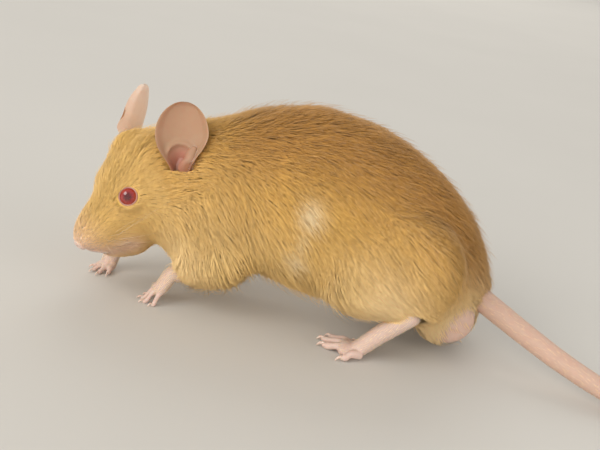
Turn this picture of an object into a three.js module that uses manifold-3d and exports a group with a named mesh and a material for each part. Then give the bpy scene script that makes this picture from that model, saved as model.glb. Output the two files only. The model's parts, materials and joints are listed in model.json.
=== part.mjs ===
/**
 * A buff-coloured fancy mouse, life size, walking with its head low and turned to its left.
 *
 * Millimetres, +Z up. The mouse faces -X, its left side is -Y, and its feet and tail rest on z = 0.
 * The body is one loft from the nose to the root of the tail, parted by thin cuts into head, neck
 * and trunk. Limbs, ears, scrotum and tail grow out of it, and each keeps a thin gap to its neighbour.
 * All sizes are taken over the coat, out to the tips of the hairs.
 */
import * as THREE from 'three';
import { LoftGeometry } from 'three/addons/geometries/LoftGeometry.js';
import { mergeVertices } from 'three/addons/utils/BufferGeometryUtils.js';
import Module from 'manifold-3d';

const wasm = await Module();
wasm.setup();

// ---------------------------------------------------------------- driving dimensions (mm, degrees)

const gap = 0.3;              // clear space between two neighbouring pieces
const bodySides = 28;         // corners of a section of the body
const limbSides = 12;         // corners of a section of a leg
const footSides = 8;          // corners of a section of a foot
const toeSides = 6;           // corners of a section of a toe
const capSteps = 4;           // rings round the end of a length of leg
const eyeFaces = [12, 8];     // faces round and up an eyeball or a lobe of the scrotum

const head = { nose: [-40.0, -13.8, 9.9], yaw: 50, pitch: -42, roll: -6 };
const eye = { behind: 12.4, side: 5.1, up: 3.2, radius: 1.9 };
const ear = {
  behind: 22.0, side: 9.9, up: 2.1,           // where the pinna leaves the head
  length: 13.5, halfWidth: 5.4, thickness: 0.6,
  baseShare: 0.72, widestAt: 0.54,            // width at the base, and how far up it is widest
  rollAtBase: 230, rollAtTip: 60, openAt: 0.62,           // how far the leaf is rolled, and where it lies open
  tightest: 1.6,                              // least radius of the roll
  rings: 11, columns: 8, lastRing: 0.992,     // its mesh: rings up it, faces across it, place of the last ring
  rise: { forward: -0.69, right: 0.13, up: 0.69 },        // of the left ear, in the head's axes
  facing: { forward: 0.45, right: -0.75, up: 0.48 },
};

// Sections of the head, measured back from the nose tip along the head's own axis.
const headSections = [
  { behind: 0.0, side: 1.6, top: 1.3, bottom: 1.7, square: 2.1, pear: 0.0 },
  { behind: 0.7, side: 2.6, top: 2.2, bottom: 3.4, square: 2.2, pear: 0.0 },
  { behind: 2.2, side: 3.7, top: 3.2, bottom: 6.3, square: 2.3, pear: 0.05 },
  { behind: 4.6, side: 4.7, top: 4.2, bottom: 8.6, square: 2.3, pear: 0.08 },
  { behind: 8.2, side: 5.7, top: 5.2, bottom: 9.5, square: 2.2, pear: 0.10 },
  { behind: 12.2, side: 6.9, top: 6.7, bottom: 9.8, square: 2.2, pear: 0.12 },
  { behind: 16.6, side: 8.5, top: 8.0, bottom: 10.3, square: 2.1, pear: 0.12 },
  { behind: 21.1, side: 9.7, top: 9.0, bottom: 11.4, square: 2.1, pear: 0.10 },
];

// Swellings of the head, mirrored left and right: place in the head's axes, spread and height.
const headSwellings = [
  { name: 'whisker pad', behind: 3.6, side: 3.4, up: -1.4, spread: 1.9, height: 0.75 },
  { name: 'cheek', behind: 15.0, side: 7.6, up: -4.0, spread: 4.2, height: 0.9 },
  { name: 'brow', behind: 12.4, side: 4.6, up: 5.0, spread: 2.2, height: 0.45 },
];

// Sections behind the head: centre, turns of the section, and half sizes from that centre.
const trunkSections = [
  { centre: [-22.8, -1.3, 24.6], yaw: 35, pitch: -30, roll: -4, side: 11.0, top: 11.6, bottom: 13.0, square: 2.0, pear: 0.10 },
  { centre: [-15.6, -0.6, 24.9], yaw: 20, pitch: -17, roll: -2, side: 12.4, top: 13.2, bottom: 14.8, square: 2.0, pear: 0.12 },
  { centre: [-8.0, -0.3, 25.2], yaw: 8, pitch: -7, roll: 0, side: 13.8, top: 16.2, bottom: 16.2, square: 2.0, pear: 0.14 },
  { centre: [0.8, 0.0, 25.4], yaw: 1, pitch: 0, roll: 0, side: 15.2, top: 18.2, bottom: 18.0, square: 2.05, pear: 0.15 },
  { centre: [10.0, 0.2, 24.4], yaw: 0, pitch: 7, roll: 0, side: 15.8, top: 17.5, bottom: 17.2, square: 2.05, pear: 0.15 },
  { centre: [19.0, 0.6, 22.0], yaw: -2, pitch: 20, roll: 0, side: 14.8, top: 15.0, bottom: 14.4, square: 2.0, pear: 0.12 },
  { centre: [26.4, 1.2, 18.6], yaw: -6, pitch: 32, roll: 0, side: 11.8, top: 11.5, bottom: 10.4, square: 2.0, pear: 0.05 },
  { centre: [32.4, 1.9, 15.4], yaw: -10, pitch: 36, roll: 0, side: 7.6, top: 7.2, bottom: 6.8, square: 2.0, pear: 0.0 },
  { centre: [36.0, 2.3, 13.6], yaw: -12, pitch: 34, roll: 0, side: 4.0, top: 3.9, bottom: 4.0, square: 2.0, pear: 0.0 },
];
const cuts = { headToNeck: 6.94, neckToTrunk: 9.0, halfWidth: 0.035 };   // places along the sections, from the nose
const bodySteps = { head: 14, neck: 5, trunk: 14 };     // rings along each length of the body

// Legs: each a thigh or upper arm and the length below it, from joint to joint.
const legs = {
  left_foreleg: {
    upper: { from: [-14.5, -8.2, 19.5], to: [-12.8, -9.8, 12.4], radii: [8.6, 5.3], flat: 0.72 },
    lower: { from: [-12.0, -9.8, 11.8], to: [-18.0, -9.2, 8.8], radii: [4.6, 4.7], flat: 0.8 },
  },
  right_foreleg: {
    upper: { from: [-16.5, 6.4, 19.5], to: [-20.6, 7.2, 13.2], radii: [8.6, 5.2], flat: 0.72 },
    lower: { from: [-21.6, 6.6, 12.4], to: [-36.4, 1.0, 7.4], radii: [4.3, 2.3], flat: 0.9 },
  },
  left_hind_leg: {
    upper: { from: [22.0, -9.4, 18.6], to: [16.0, -11.6, 15.4], radii: [11.4, 7.2], flat: 0.62 },
    lower: { from: [15.2, -12.0, 13.9], to: [25.4, -12.2, 11.0], radii: [5.4, 2.4], flat: 0.8 },
  },
  right_hind_leg: {
    upper: { from: [24.4, 9.8, 18.0], to: [20.6, 12.0, 14.4], radii: [11.0, 7.0], flat: 0.62 },
    lower: { from: [20.4, 12.3, 12.4], to: [34.6, 12.6, 7.6], radii: [5.2, 2.4], flat: 0.8 },
  },
};

// Feet: heel or wrist, heading in plan (degrees to the mouse's left of -X), and the toes' fan.
const hindToes = [
  { turn: 34, start: 1.9, back: 2.4, length: 3.0 },
  { turn: 10, start: 1.35, back: 0.3, length: 5.3 },
  { turn: 2, start: 0.1, back: 0.0, length: 5.9 },
  { turn: -8, start: -1.2, back: 0.4, length: 5.5 },
  { turn: -50, start: -2.0, back: 2.0, length: 3.2 },
];
const foreToes = [
  { turn: 24, start: 1.25, back: 0.4, length: 2.4 },
  { turn: 7, start: 0.45, back: 0.0, length: 3.1 },
  { turn: -8, start: -0.45, back: 0.0, length: 3.0 },
  { turn: -27, start: -1.25, back: 0.6, length: 2.3 },
];
const sole = { middle: 0.45, ball: 0.86, front: 1.12 };   // bends of the sole's route, as shares of its reach
const archShares = { front: 0.8, root: 0.9, knuckle: 0.55, pad: -0.2 };   // of a hand's arch, at places along it
const sunk = 0.12;            // how deep a sole is set into the floor, which trims it flat
const toeShares = [0.95, 1.05, 0.9, 0.45, 0.16];          // radii along a toe and its claw, as shares of the toe's
const clawTip = 0.16;         // height of a claw's point over the floor
const footSteps = 5;          // rings along a sole or a toe
const foreFoot = { halfWidths: [1.9, 1.9, 2.0], halfHeights: [1.8, 1.45, 1.1], toes: foreToes, toeRadius: 0.55, claw: 1.0 };
const hindFoot = { halfWidths: [1.9, 1.9, 2.7], halfHeights: [2.1, 1.8, 1.35], toes: hindToes, toeRadius: 0.7, claw: 1.4 };
const feet = {
  left_forefoot: { ...foreFoot, at: [-20.6, -8.8, 6.4], leg: 'left_foreleg', heading: 26, fan: 0, side: -1, reach: 3.7, arch: 2.3 },
  right_forefoot: { ...foreFoot, at: [-37.0, 0.6, 6.6], leg: 'right_foreleg', heading: 66, fan: 0, side: 1, reach: 2.9 },
  left_hind_foot: { ...hindFoot, at: [25.4, -12.2, 11.0], leg: 'left_hind_leg', heading: 0, fan: -20, side: -1, reach: 10.0 },
  right_hind_foot: { ...hindFoot, at: [34.6, 12.6, 7.6], leg: 'right_hind_leg', heading: -4, fan: 4, side: 1, reach: 13.0 },
};

const scrotum = { centre: [32.0, 0.8, 7.9], apart: 4.4, halfSizes: [6.6, 3.5, 6.3], lean: 14 };
const tailRoom = { share: 0.4, steps: 10 };   // the length of tail that the scrotum keeps clear of

const tail = {
  route: [[33.6, 2.2, 14.0], [39.5, 1.2, 11.6], [47.5, -1.6, 8.5], [56, -4.8, 5.6], [65.5, -8.3, 3.3],
    [76, -11.8, 1.95], [88, -14.9, 1.45], [100, -16.0, 1.1], [110, -14.8, 0.8], [118, -12.4, 0.5]],
  radii: [2.45, 2.2, 1.85, 1.35, 0.6], sides: 12, steps: 8,
  lengths: { tail_base: [0, 0.36], tail_middle: [0.36, 0.68], tail_tip: [0.68, 1] },      // shares of the route
  halfCut: 0.0014,            // half the width of the thin cut between two lengths, as a share of the route
};
const floorBlock = { width: 400, depth: 20 };             // what lies under the floor, cut off the feet and tail

const colours = { coat: 0xbd9354, flank: 0xc9a162, skin: 0xd9b5a0, ear: 0xd2ab8c, eye: 0x8c2430, tail: 0xd3b6a5 };

// ---------------------------------------------------------------- small helpers

const radians = (degrees) => (degrees * Math.PI) / 180;
const vector = (xyz) => new THREE.Vector3(...xyz);
const range = (count) => Array.from({ length: count }, (_, i) => i);
const mix = (a, b, share) => a + (b - a) * share;

/** Smooth value between the entries of a list: a Catmull-Rom curve through them. */
function smooth(values, t) {
  const last = values.length - 1;
  const i = Math.min(Math.floor(t), last - 1);
  const pick = (k) => values[Math.max(0, Math.min(last, k))];
  const [a, b, c, d] = [pick(i - 1), pick(i), pick(i + 1), pick(i + 2)];
  const u = t - i;
  return b + 0.5 * u * (c - a + u * (2 * a - 5 * b + 4 * c - d + u * (3 * (b - c) + d - a)));
}

/** The axes of something that heads along -X, then is yawed to its left, pitched up and rolled. */
function axesOf({ yaw, pitch, roll }) {
  const [y, p, r] = [yaw, pitch, roll].map(radians);
  const forward = new THREE.Vector3(-Math.cos(p) * Math.cos(y), -Math.cos(p) * Math.sin(y), Math.sin(p));
  const level = new THREE.Vector3(-Math.sin(y), Math.cos(y), 0);
  const upright = level.clone().cross(forward);
  const right = level.clone().multiplyScalar(Math.cos(r)).addScaledVector(upright, Math.sin(r));
  const up = upright.multiplyScalar(Math.cos(r)).addScaledVector(level, -Math.sin(r));
  return { forward, right, up };
}

const headAxes = axesOf(head);

/** A direction given in the head's own axes. */
function headDirection({ forward, right, up }) {
  return new THREE.Vector3()
    .addScaledVector(headAxes.forward, forward)
    .addScaledVector(headAxes.right, right)
    .addScaledVector(headAxes.up, up)
    .normalize();
}

/** A point of the head from its distances behind the nose tip, to the right and up. */
function headPoint(behind, right, up) {
  return vector(head.nose)
    .addScaledVector(headAxes.forward, -behind)
    .addScaledVector(headAxes.right, right)
    .addScaledVector(headAxes.up, up);
}

/** A closed solid made from a geometry whose shared corners are merged. */
function solidOf(geometry) {
  const bare = new THREE.BufferGeometry();
  bare.setAttribute('position', geometry.attributes.position);
  bare.setIndex(geometry.index);
  const merged = mergeVertices(bare, 1e-4);
  return new wasm.Manifold(new wasm.Mesh({
    numProp: 3,
    vertProperties: new Float32Array(merged.attributes.position.array),
    triVerts: new Uint32Array(merged.index.array),
  }));
}

/** The geometry of a solid, for a mesh. */
function geometryOf(solid) {
  const { vertProperties, triVerts } = solid.getMesh();
  const geometry = new THREE.BufferGeometry();
  geometry.setAttribute('position', new THREE.BufferAttribute(vertProperties, 3));
  geometry.setIndex(new THREE.BufferAttribute(triVerts, 1));
  geometry.computeVertexNormals();
  return geometry;
}

/** Join any number of solids. */
const join = (...solids) => solids.reduce((whole, piece) => whole.add(piece));

/** A solid through rings of points, closed at both ends. */
const loft = (rings) => solidOf(new LoftGeometry(rings, { capStart: true, capEnd: true }));

/** An ellipse of points about a centre, across two directions. */
function ellipse(centre, right, up, halfWidth, halfHeight, sides) {
  return range(sides).map((k) => {
    const angle = (k / sides) * 2 * Math.PI;
    return centre.clone()
      .addScaledVector(right, halfWidth * Math.cos(angle))
      .addScaledVector(up, halfHeight * Math.sin(angle));
  });
}

/** A solid of oval sections carried along a smooth route, its sections level from side to side. */
function bentTube({ route, halfWidths, halfHeights, sides, steps, from = 0, to = 1 }) {
  const last = route.length - 1;
  const nearby = 0.02;        // how far along the route to look for its direction
  const at = (t) => new THREE.Vector3(...[0, 1, 2].map((axis) => smooth(route.map((p) => p[axis]), t)));
  const rings = range(steps + 1).map((i) => {
    const t = mix(from, to, i / steps) * last;
    const ahead = at(Math.min(last, t + nearby)).sub(at(Math.max(0, t - nearby))).normalize();
    const right = new THREE.Vector3(0, 0, 1).cross(ahead).negate().normalize();
    const up = ahead.clone().cross(right).negate();
    const share = (t / last) * (halfWidths.length - 1);
    return ellipse(at(t), right, up, smooth(halfWidths, share), smooth(halfHeights, share), sides).reverse();
  });
  return loft(rings);
}

/** A tapering length with rounded ends between two points. */
function taper({ from, to, radii, flat }, margin = 0) {
  const unsqueeze = new THREE.Vector3(1, 1 / flat, 1);
  const foot = vector(from).multiply(unsqueeze);
  const along = vector(to).multiply(unsqueeze).sub(foot);
  const length = along.length();
  const [start, end] = radii.map((radius) => radius + margin);
  const turns = range(capSteps + 1).map((i) => (i / capSteps) * (Math.PI / 2));
  const onAxis = (radius) => (radius < 1e-9 ? 0 : radius);
  const profile = [
    ...turns.map((a) => new THREE.Vector2(start * Math.sin(a), -start * Math.cos(a))),
    ...turns.map((a) => new THREE.Vector2(onAxis(end * Math.cos(a)), length + end * Math.sin(a))),
  ];
  const geometry = new THREE.LatheGeometry(profile, limbSides);
  geometry.applyQuaternion(new THREE.Quaternion().setFromUnitVectors(new THREE.Vector3(0, 1, 0), along.normalize()));
  geometry.translate(...foot.toArray());
  geometry.scale(1, flat, 1);
  return solidOf(geometry);
}

// ---------------------------------------------------------------- the body's loft

const sections = [
  ...headSections.map((section) => ({ ...head, ...section, centre: headPoint(section.behind, 0, 0).toArray() })),
  ...trunkSections,
];
const bodyEnd = sections.length - 1;
const swellings = headSwellings.flatMap((s) => [-1, 1].map((side) => ({ ...s, at: headPoint(s.behind, side * s.side, s.up) })));

/** How far a point of the head is pushed out by the swellings near it. */
const swell = (point) => swellings.reduce(
  (sum, { at, spread, height }) => sum + height * Math.exp(-point.distanceToSquared(at) / (2 * spread ** 2)), 0);

/** The ring of the body at a place along its sections, grown outward by a margin. */
function bodyRing(t, margin) {
  const at = (read) => smooth(sections.map(read), t);
  const centre = new THREE.Vector3(...[0, 1, 2].map((axis) => at((s) => s.centre[axis])));
  const { right, up } = axesOf({ yaw: at((s) => s.yaw), pitch: at((s) => s.pitch), roll: at((s) => s.roll) });
  const half = { side: at((s) => s.side) + margin, top: at((s) => s.top) + margin, bottom: at((s) => s.bottom) + margin };
  const power = 2 / at((s) => s.square);
  const pear = at((s) => s.pear);
  const curve = (value) => Math.sign(value) * Math.abs(value) ** power;
  return range(bodySides).map((k) => {
    const angle = (k / bodySides) * 2 * Math.PI;
    const height = Math.sin(angle);
    const arm = new THREE.Vector3()
      .addScaledVector(right, curve(Math.cos(angle)) * half.side * (1 - pear * height))
      .addScaledVector(up, curve(height) * (height > 0 ? half.top : half.bottom));
    return arm.setLength(arm.length() + swell(centre.clone().add(arm))).add(centre);
  });
}

/** The places of the rings of a length of the body between two places along its sections. */
const placesBetween = (start, end, steps) => range(steps + 1).map((i) => mix(start, end, i / steps));

const places = {
  head: placesBetween(0, cuts.headToNeck - cuts.halfWidth, bodySteps.head),
  neck: placesBetween(cuts.headToNeck + cuts.halfWidth, cuts.neckToTrunk - cuts.halfWidth, bodySteps.neck),
  trunk: placesBetween(cuts.neckToTrunk + cuts.halfWidth, bodyEnd, bodySteps.trunk),
};

/** The solid of the body through the rings at some places, grown outward by a margin. */
const bodyThrough = (along, margin = 0) => loft(along.map((place) => bodyRing(place, margin)));

const bodyWithRoom = bodyThrough([...places.head, ...places.neck, ...places.trunk], gap);

// ---------------------------------------------------------------- head pieces

/** An eyeball, set into the head. */
function eyeball(side, margin = 0) {
  const geometry = new THREE.SphereGeometry(eye.radius + margin, ...eyeFaces);
  geometry.translate(...headPoint(eye.behind, side * eye.side, eye.up).toArray());
  return solidOf(geometry);
}

/** An ear: a leaf rolled into a funnel at its base and opening towards its tip. */
function pinna(side) {
  const mirrored = ({ forward, right, up }) => headDirection({ forward, right: -side * right, up });
  const rise = mirrored(ear.rise);
  const across = rise.clone().cross(mirrored(ear.facing)).normalize();
  const facing = across.clone().cross(rise);
  const base = headPoint(ear.behind, side * ear.side, ear.up);
  const { columns } = ear;
  const rings = range(ear.rings).map((i) => {
    const share = Math.sin((i / (ear.rings - 1)) * (Math.PI / 2)) * ear.lastRing;
    const below = share < ear.widestAt;
    const width = below
      ? mix(ear.baseShare, 1, Math.sin((share / ear.widestAt) * (Math.PI / 2)))
      : Math.sqrt(1 - ((share - ear.widestAt) / (1 - ear.widestAt)) ** 2);
    const arc = 2 * ear.halfWidth * width;
    const opening = THREE.MathUtils.smoothstep(share, 0, ear.openAt);
    const radius = Math.max(arc / radians(mix(ear.rollAtBase, ear.rollAtTip, opening)), ear.tightest);
    const middle = base.clone().addScaledVector(rise, ear.length * share);
    const point = (k, depth) => {
      const angle = ((k / columns) - 0.5) * (arc / radius);
      return middle.clone()
        .addScaledVector(across, (radius - depth) * Math.sin(angle))
        .addScaledVector(facing, radius - (radius - depth) * Math.cos(angle));
    };
    const inner = range(columns + 1).map((k) => point(k, ear.thickness));
    const outer = range(columns + 1).map((k) => point(columns - k, 0));
    return [...inner, ...outer];
  });
  return loft(rings).subtract(bodyWithRoom);
}

// ---------------------------------------------------------------- legs and feet

/** One leg without its foot. */
const limb = ({ upper, lower }, margin = 0) => join(taper(upper, margin), taper(lower, margin));

/** A foot: the sole from heel or wrist to the ball, its fanned toes and their claws. */
function foot({ at, heading, fan, side, reach, arch = 0, halfWidths, halfHeights, toes, toeRadius, claw }) {
  const turned = (degrees) => axesOf({ yaw: heading + degrees, pitch: 0, roll: 0 });
  const { forward, right } = turned(0);
  const onFloor = (ahead, across, z) => vector(at).setZ(0)
    .addScaledVector(forward, ahead).addScaledVector(right, across).setZ(z);
  const low = halfHeights[2] - sunk;
  const pad = bentTube({
    route: [at, onFloor(reach * sole.middle, 0, mix(at[2], low, 0.5) + arch).toArray(),
      onFloor(reach * sole.ball, 0, low + 2 * sunk + arch).toArray(),
      onFloor(reach * sole.front, 0, low + archShares.front * arch).toArray()],
    halfWidths, halfHeights, sides: footSides, steps: footSteps,
  });
  const digits = toes.map(({ turn, start, back, length }) => {
    const direction = turned(fan + side * turn).forward;
    const root = onFloor(reach - back, -side * start, low);
    const along = (distance, z) => root.clone().addScaledVector(direction, distance).setZ(z).toArray();
    const radii = toeShares.map((share) => share * toeRadius);
    return bentTube({
      route: [along(-0.1 * length, low + archShares.root * arch),
        along(0.42 * length, 1.55 * toeRadius + archShares.knuckle * arch),
        along(0.92 * length, 0.86 * toeRadius + archShares.pad * arch),
        along(length + 0.35 * claw, 1.15 * toeRadius), along(length + claw, clawTip)],
      halfWidths: radii, halfHeights: radii, sides: toeSides, steps: footSteps,
    });
  });
  return join(pad, ...digits);
}

/** Everything below the floor the feet stand on. */
function underFloor() {
  const geometry = new THREE.BoxGeometry(floorBlock.width, floorBlock.width, floorBlock.depth);
  geometry.translate(0, 0, -floorBlock.depth / 2);
  return solidOf(geometry);
}

/** The two-lobed bag under the tail. */
function bag() {
  const lobes = [-0.5, 0.5].map((share) => {
    const geometry = new THREE.SphereGeometry(1, ...eyeFaces);
    geometry.scale(...scrotum.halfSizes);
    geometry.rotateY(radians(scrotum.lean));
    const [x, y, z] = scrotum.centre;
    geometry.translate(x, y + share * scrotum.apart, z);
    return solidOf(geometry);
  });
  return join(...lobes);
}

/** A length of the tail between two shares of its route. */
function tailLength(from, to, steps = tail.steps, margin = 0) {
  const radii = tail.radii.map((radius) => radius + margin);
  return bentTube({ route: tail.route, halfWidths: radii, halfHeights: radii, sides: tail.sides, steps, from, to });
}

// ---------------------------------------------------------------- assembly

const mouse = new THREE.Group();

/** Put a named piece into the mouse. */
function add(name, solid, color, roughness = 0.85) {
  const mesh = new THREE.Mesh(geometryOf(solid), new THREE.MeshStandardMaterial({ color, roughness, metalness: 0 }));
  mesh.name = name;
  mouse.add(mesh);
}

const below = underFloor();
const sockets = join(eyeball(-1, gap), eyeball(1, gap));
add('head', bodyThrough(places.head).subtract(sockets), colours.coat);
add('neck', bodyThrough(places.neck), colours.coat);
add('trunk', bodyThrough(places.trunk), colours.flank);

for (const [name, side] of [['left', -1], ['right', 1]]) {
  add(`${name}_ear`, pinna(side), colours.ear, 0.6);
  add(`${name}_eye`, eyeball(side), colours.eye, 0.1);
}

for (const [name, sizes] of Object.entries(legs)) {
  add(name, limb(sizes).subtract(bodyWithRoom), colours.flank);
}
for (const [name, sizes] of Object.entries(feet)) {
  const legWithRoom = limb(legs[sizes.leg], gap);
  add(name, foot(sizes).subtract(join(legWithRoom, bodyWithRoom, below)), colours.skin, 0.6);
}

const hindLegsWithRoom = join(limb(legs.left_hind_leg, gap), limb(legs.right_hind_leg, gap));
const tailWithRoom = tailLength(0, tailRoom.share, tailRoom.steps, gap);
add('scrotum', bag().subtract(join(bodyWithRoom, hindLegsWithRoom, tailWithRoom)), colours.coat);

for (const [name, [from, to]] of Object.entries(tail.lengths)) {
  const start = from > 0 ? from + tail.halfCut : from;
  const end = to < 1 ? to - tail.halfCut : to;
  add(name, tailLength(start, end).subtract(join(bodyWithRoom, below)), colours.tail, 0.6);
}

// Stand the mouse with the middle of its box over the origin.
const box = new THREE.Box3().setFromObject(mouse);
const middle = box.getCenter(new THREE.Vector3());
for (const mesh of mouse.children) mesh.position.set(-middle.x, -middle.y, 0);

export default mouse;
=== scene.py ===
"""A life-size, buff-coloured pet mouse over its CAD frame: skin, eyes, claws, whiskers and a coat of tufts.

Shapes are worked out in millimetres in the mouse's own frame, with its nose toward -X, its left side
toward -Y and the floor at z = 0. They are moved to the CAD frame, in metres, as they become meshes.
"""

import json
import logging
import math
from dataclasses import dataclass, field
from enum import Enum
from typing import Callable

import bpy
import openvdb
import numpy as np
from mathutils import Matrix, Vector

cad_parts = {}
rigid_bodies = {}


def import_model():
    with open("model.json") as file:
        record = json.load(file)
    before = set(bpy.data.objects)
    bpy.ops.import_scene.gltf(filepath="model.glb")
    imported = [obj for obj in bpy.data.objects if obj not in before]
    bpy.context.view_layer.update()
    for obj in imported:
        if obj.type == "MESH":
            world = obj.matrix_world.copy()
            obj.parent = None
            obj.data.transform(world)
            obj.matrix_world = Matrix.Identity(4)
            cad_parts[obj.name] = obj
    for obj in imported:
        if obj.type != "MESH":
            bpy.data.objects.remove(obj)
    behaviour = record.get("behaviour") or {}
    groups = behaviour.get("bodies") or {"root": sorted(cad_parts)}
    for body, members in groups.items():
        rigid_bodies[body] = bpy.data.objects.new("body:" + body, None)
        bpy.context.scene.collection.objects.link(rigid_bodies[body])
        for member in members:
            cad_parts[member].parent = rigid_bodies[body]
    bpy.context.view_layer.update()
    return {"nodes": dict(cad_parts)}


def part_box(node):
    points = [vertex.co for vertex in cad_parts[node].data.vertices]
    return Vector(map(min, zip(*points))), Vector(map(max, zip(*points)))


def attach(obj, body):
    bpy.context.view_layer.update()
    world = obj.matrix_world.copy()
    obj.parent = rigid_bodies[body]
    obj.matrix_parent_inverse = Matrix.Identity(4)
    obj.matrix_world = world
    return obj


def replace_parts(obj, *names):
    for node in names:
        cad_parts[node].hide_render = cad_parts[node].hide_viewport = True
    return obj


Array = np.ndarray
Point = tuple[float, float, float]
Amount = Array | float
Rule = Callable[[Array], Array]
Material = bpy.types.Material
Socket = bpy.types.NodeSocket
log = logging.getLogger("mouse")

METRES_PER_MM = 0.001
TURN = 2 * math.pi
# how far over the floor, in millimetres, skin, claws, hair and whiskers stay
ON_FLOOR, CLAWS_UP, HAIR_UP, WHISKERS_UP = 0.01, 0.02, 0.2, 0.4


class Side(Enum):
    """The mouse's two sides, as the sign of its right-hand direction."""

    LEFT = -1
    RIGHT = 1


# ---- numbers and curves


def smooth(values: Array, t: Array) -> Array:
    """Catmull-Rom curve through a table's rows: each value eases between its two nearest rows.

    Args:
        values: Rows of numbers, or one number for each row.
        t: Places in the table, counted in rows from 0.

    Returns:
        The values at those places.
    """
    values, t = np.asarray(values, float), np.asarray(t, float)
    last = len(values) - 1
    i = np.clip(np.floor(t).astype(int), 0, last - 1)
    a, b, c, d = (values[np.clip(i + k, 0, last)] for k in (-1, 0, 1, 2))
    u = (t - i)[..., None] if values.ndim > 1 else t - i
    return b + 0.5 * u * (c - a + u * (2 * a - 5 * b + 4 * c - d + u * (3 * (b - c) + d - a)))


def ease(x: Array, low: float, high: float) -> Array:
    """Goes from 0 at low to 1 at high with flat ends: 3s^2 - 2s^3, where s is the share of the way."""
    s = np.clip((np.asarray(x, float) - low) / (high - low), 0, 1)
    return s * s * (3 - 2 * s)


def bell(x: Array, width: float) -> Array:
    """Bell curve e^(-x^2 / 2w^2), where w is its width: 1 in the middle, and 0.6 at a width from it."""
    return np.exp(-0.5 * (x / width) ** 2)


def lengths(vectors: Array) -> Array:
    """Lengths of vectors."""
    return np.linalg.norm(vectors, axis=-1)


def unit(vectors: Array) -> Array:
    """Vectors made one long."""
    return vectors / np.maximum(np.linalg.norm(vectors, axis=-1, keepdims=True), 1e-12)


def dot(a: Array, b: Array) -> Array:
    """Dot products of matching vectors."""
    return np.sum(a * b, axis=-1)


def mixed(a: Array, b: Array, share: Array) -> Array:
    """What lies a share of the way from a to b."""
    return a * (1 - share) + b * share


def swung(angle: Array, start: Array, toward: Array) -> Array:
    """Directions swung by angles from one toward another that is square to it."""
    return np.cos(angle)[..., None] * start + np.sin(angle)[..., None] * toward


def axes(yaw: Array, pitch: Array, roll: Array) -> tuple[Array, Array, Array]:
    """Axes of what heads along -X, is yawed to its left, pitched up and rolled.

    Args:
        yaw, pitch, roll: Angles in degrees.

    Returns:
        Its forward, right and up directions.
    """
    y, p, r = (np.radians(np.asarray(a, float))[..., None] for a in (yaw, pitch, roll))
    forward = np.concatenate([-np.cos(p) * np.cos(y), -np.cos(p) * np.sin(y), np.sin(p)], -1)
    level = np.concatenate([-np.sin(y), np.cos(y), 0 * y], -1)
    upright = np.cross(level, forward)
    right = level * np.cos(r) + upright * np.sin(r)
    return forward, right, upright * np.cos(r) - level * np.sin(r)


def blend_shapes(a: Array, b: Array, reach: float) -> Array:
    """Union of two solids from distances to their faces, with the corner between them filled over a reach."""
    h = np.clip(0.5 + 0.5 * (b - a) / reach, 0, 1)
    return mixed(b, a, h) - reach * h * (1 - h)


def run_along(points: Array) -> Array:
    """How far along a line each of its points is."""
    return np.concatenate([[0], np.cumsum(lengths(np.diff(points, axis=0)))])


def ring_values(grid: Array, rows: Array, columns: Array, weigh: Rule) -> Array:
    """Values between the corners of a grid that closes on itself across its columns.

    Args:
        grid: Rows and columns of numbers, or of vectors.
        rows, columns: Places in the grid.
        weigh: Turns the share of the way between two corners into a weight.
    """
    i, j = np.floor(rows).astype(int), np.floor(columns).astype(int)
    shape = (-1,) + (1,) * (grid.ndim - 2)
    s, r = weigh(rows - i).reshape(shape), weigh(columns - j).reshape(shape)
    j, k = j % grid.shape[1], (j + 1) % grid.shape[1]
    before, after = (mixed(grid[i, c], grid[i + 1, c], s) for c in (j, k))
    return mixed(before, after, r)


def lattice_values(lattice: Array, at: Array) -> Array:
    """Values between the corners of a lattice, each corner weighted by its nearness along every axis."""
    i = at.astype(int)
    part = at - i
    value = 0
    for corner in np.ndindex(2, 2, 2):
        x, y, z = (i + np.array(corner)).T
        value = value + np.prod(np.where(corner, part, 1 - part), axis=-1)[:, None] * lattice[x, y, z]
    return value


def softened(lattice: Array) -> Array:
    """A lattice whose values are each averaged with their neighbours, along one axis after another."""
    for axis in range(3):
        lattice = 0.5 * lattice + 0.25 * (np.roll(lattice, 1, axis) + np.roll(lattice, -1, axis))
    return lattice


@dataclass
class Ripple:
    """Smooth random values over a sheet that closes on itself across its columns."""

    seed: int
    rows: int
    columns: int

    def at(self, u: Array, v: Array) -> Array:
        """Values at places given as shares 0 to 1 along and around the sheet."""
        grid = np.random.default_rng(self.seed).standard_normal((self.rows + 2, self.columns))
        eased = lambda share: ease(share, 0, 1)
        return ring_values(grid, np.clip(u, 0, 1) * self.rows, (v % 1) * self.columns, eased)


# ---- meshes


@dataclass
class Shell:
    """A mesh in the making: corners in millimetres, its faces and what is known at each corner."""

    points: Array
    faces: list[Array]
    marks: dict[str, Array] = field(default_factory=dict)

    def volume(self) -> float:
        """Signed volume: each face is cut into triangles, and their cones to the origin are summed."""
        total = 0.0
        for faces in self.faces:
            for k in range(1, faces.shape[1] - 1):
                a, b, c = (self.points[faces[:, n]] for n in (0, k, k + 1))
                total += float(np.sum(dot(a, np.cross(b, c)))) / 6
        return total

    def outward(self) -> "Shell":
        """The same mesh with its faces turned to point out."""
        if self.volume() < 0:
            self.faces = [f[:, ::-1] for f in self.faces]
        return self


def join(shells: list[Shell]) -> Shell:
    """Several meshes as one, with the marks that all of them carry."""
    start, faces = 0, []
    for shell in shells:
        faces += [f + start for f in shell.faces]
        start += len(shell.points)
    shared = set.intersection(*(set(s.marks) for s in shells))
    marks = {name: np.concatenate([s.marks[name] for s in shells]) for name in shared}
    counts = sorted({f.shape[1] for f in faces})
    faces = [np.concatenate([f for f in faces if f.shape[1] == n]) for n in counts]
    return Shell(np.concatenate([s.points for s in shells]), faces, marks)


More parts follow.
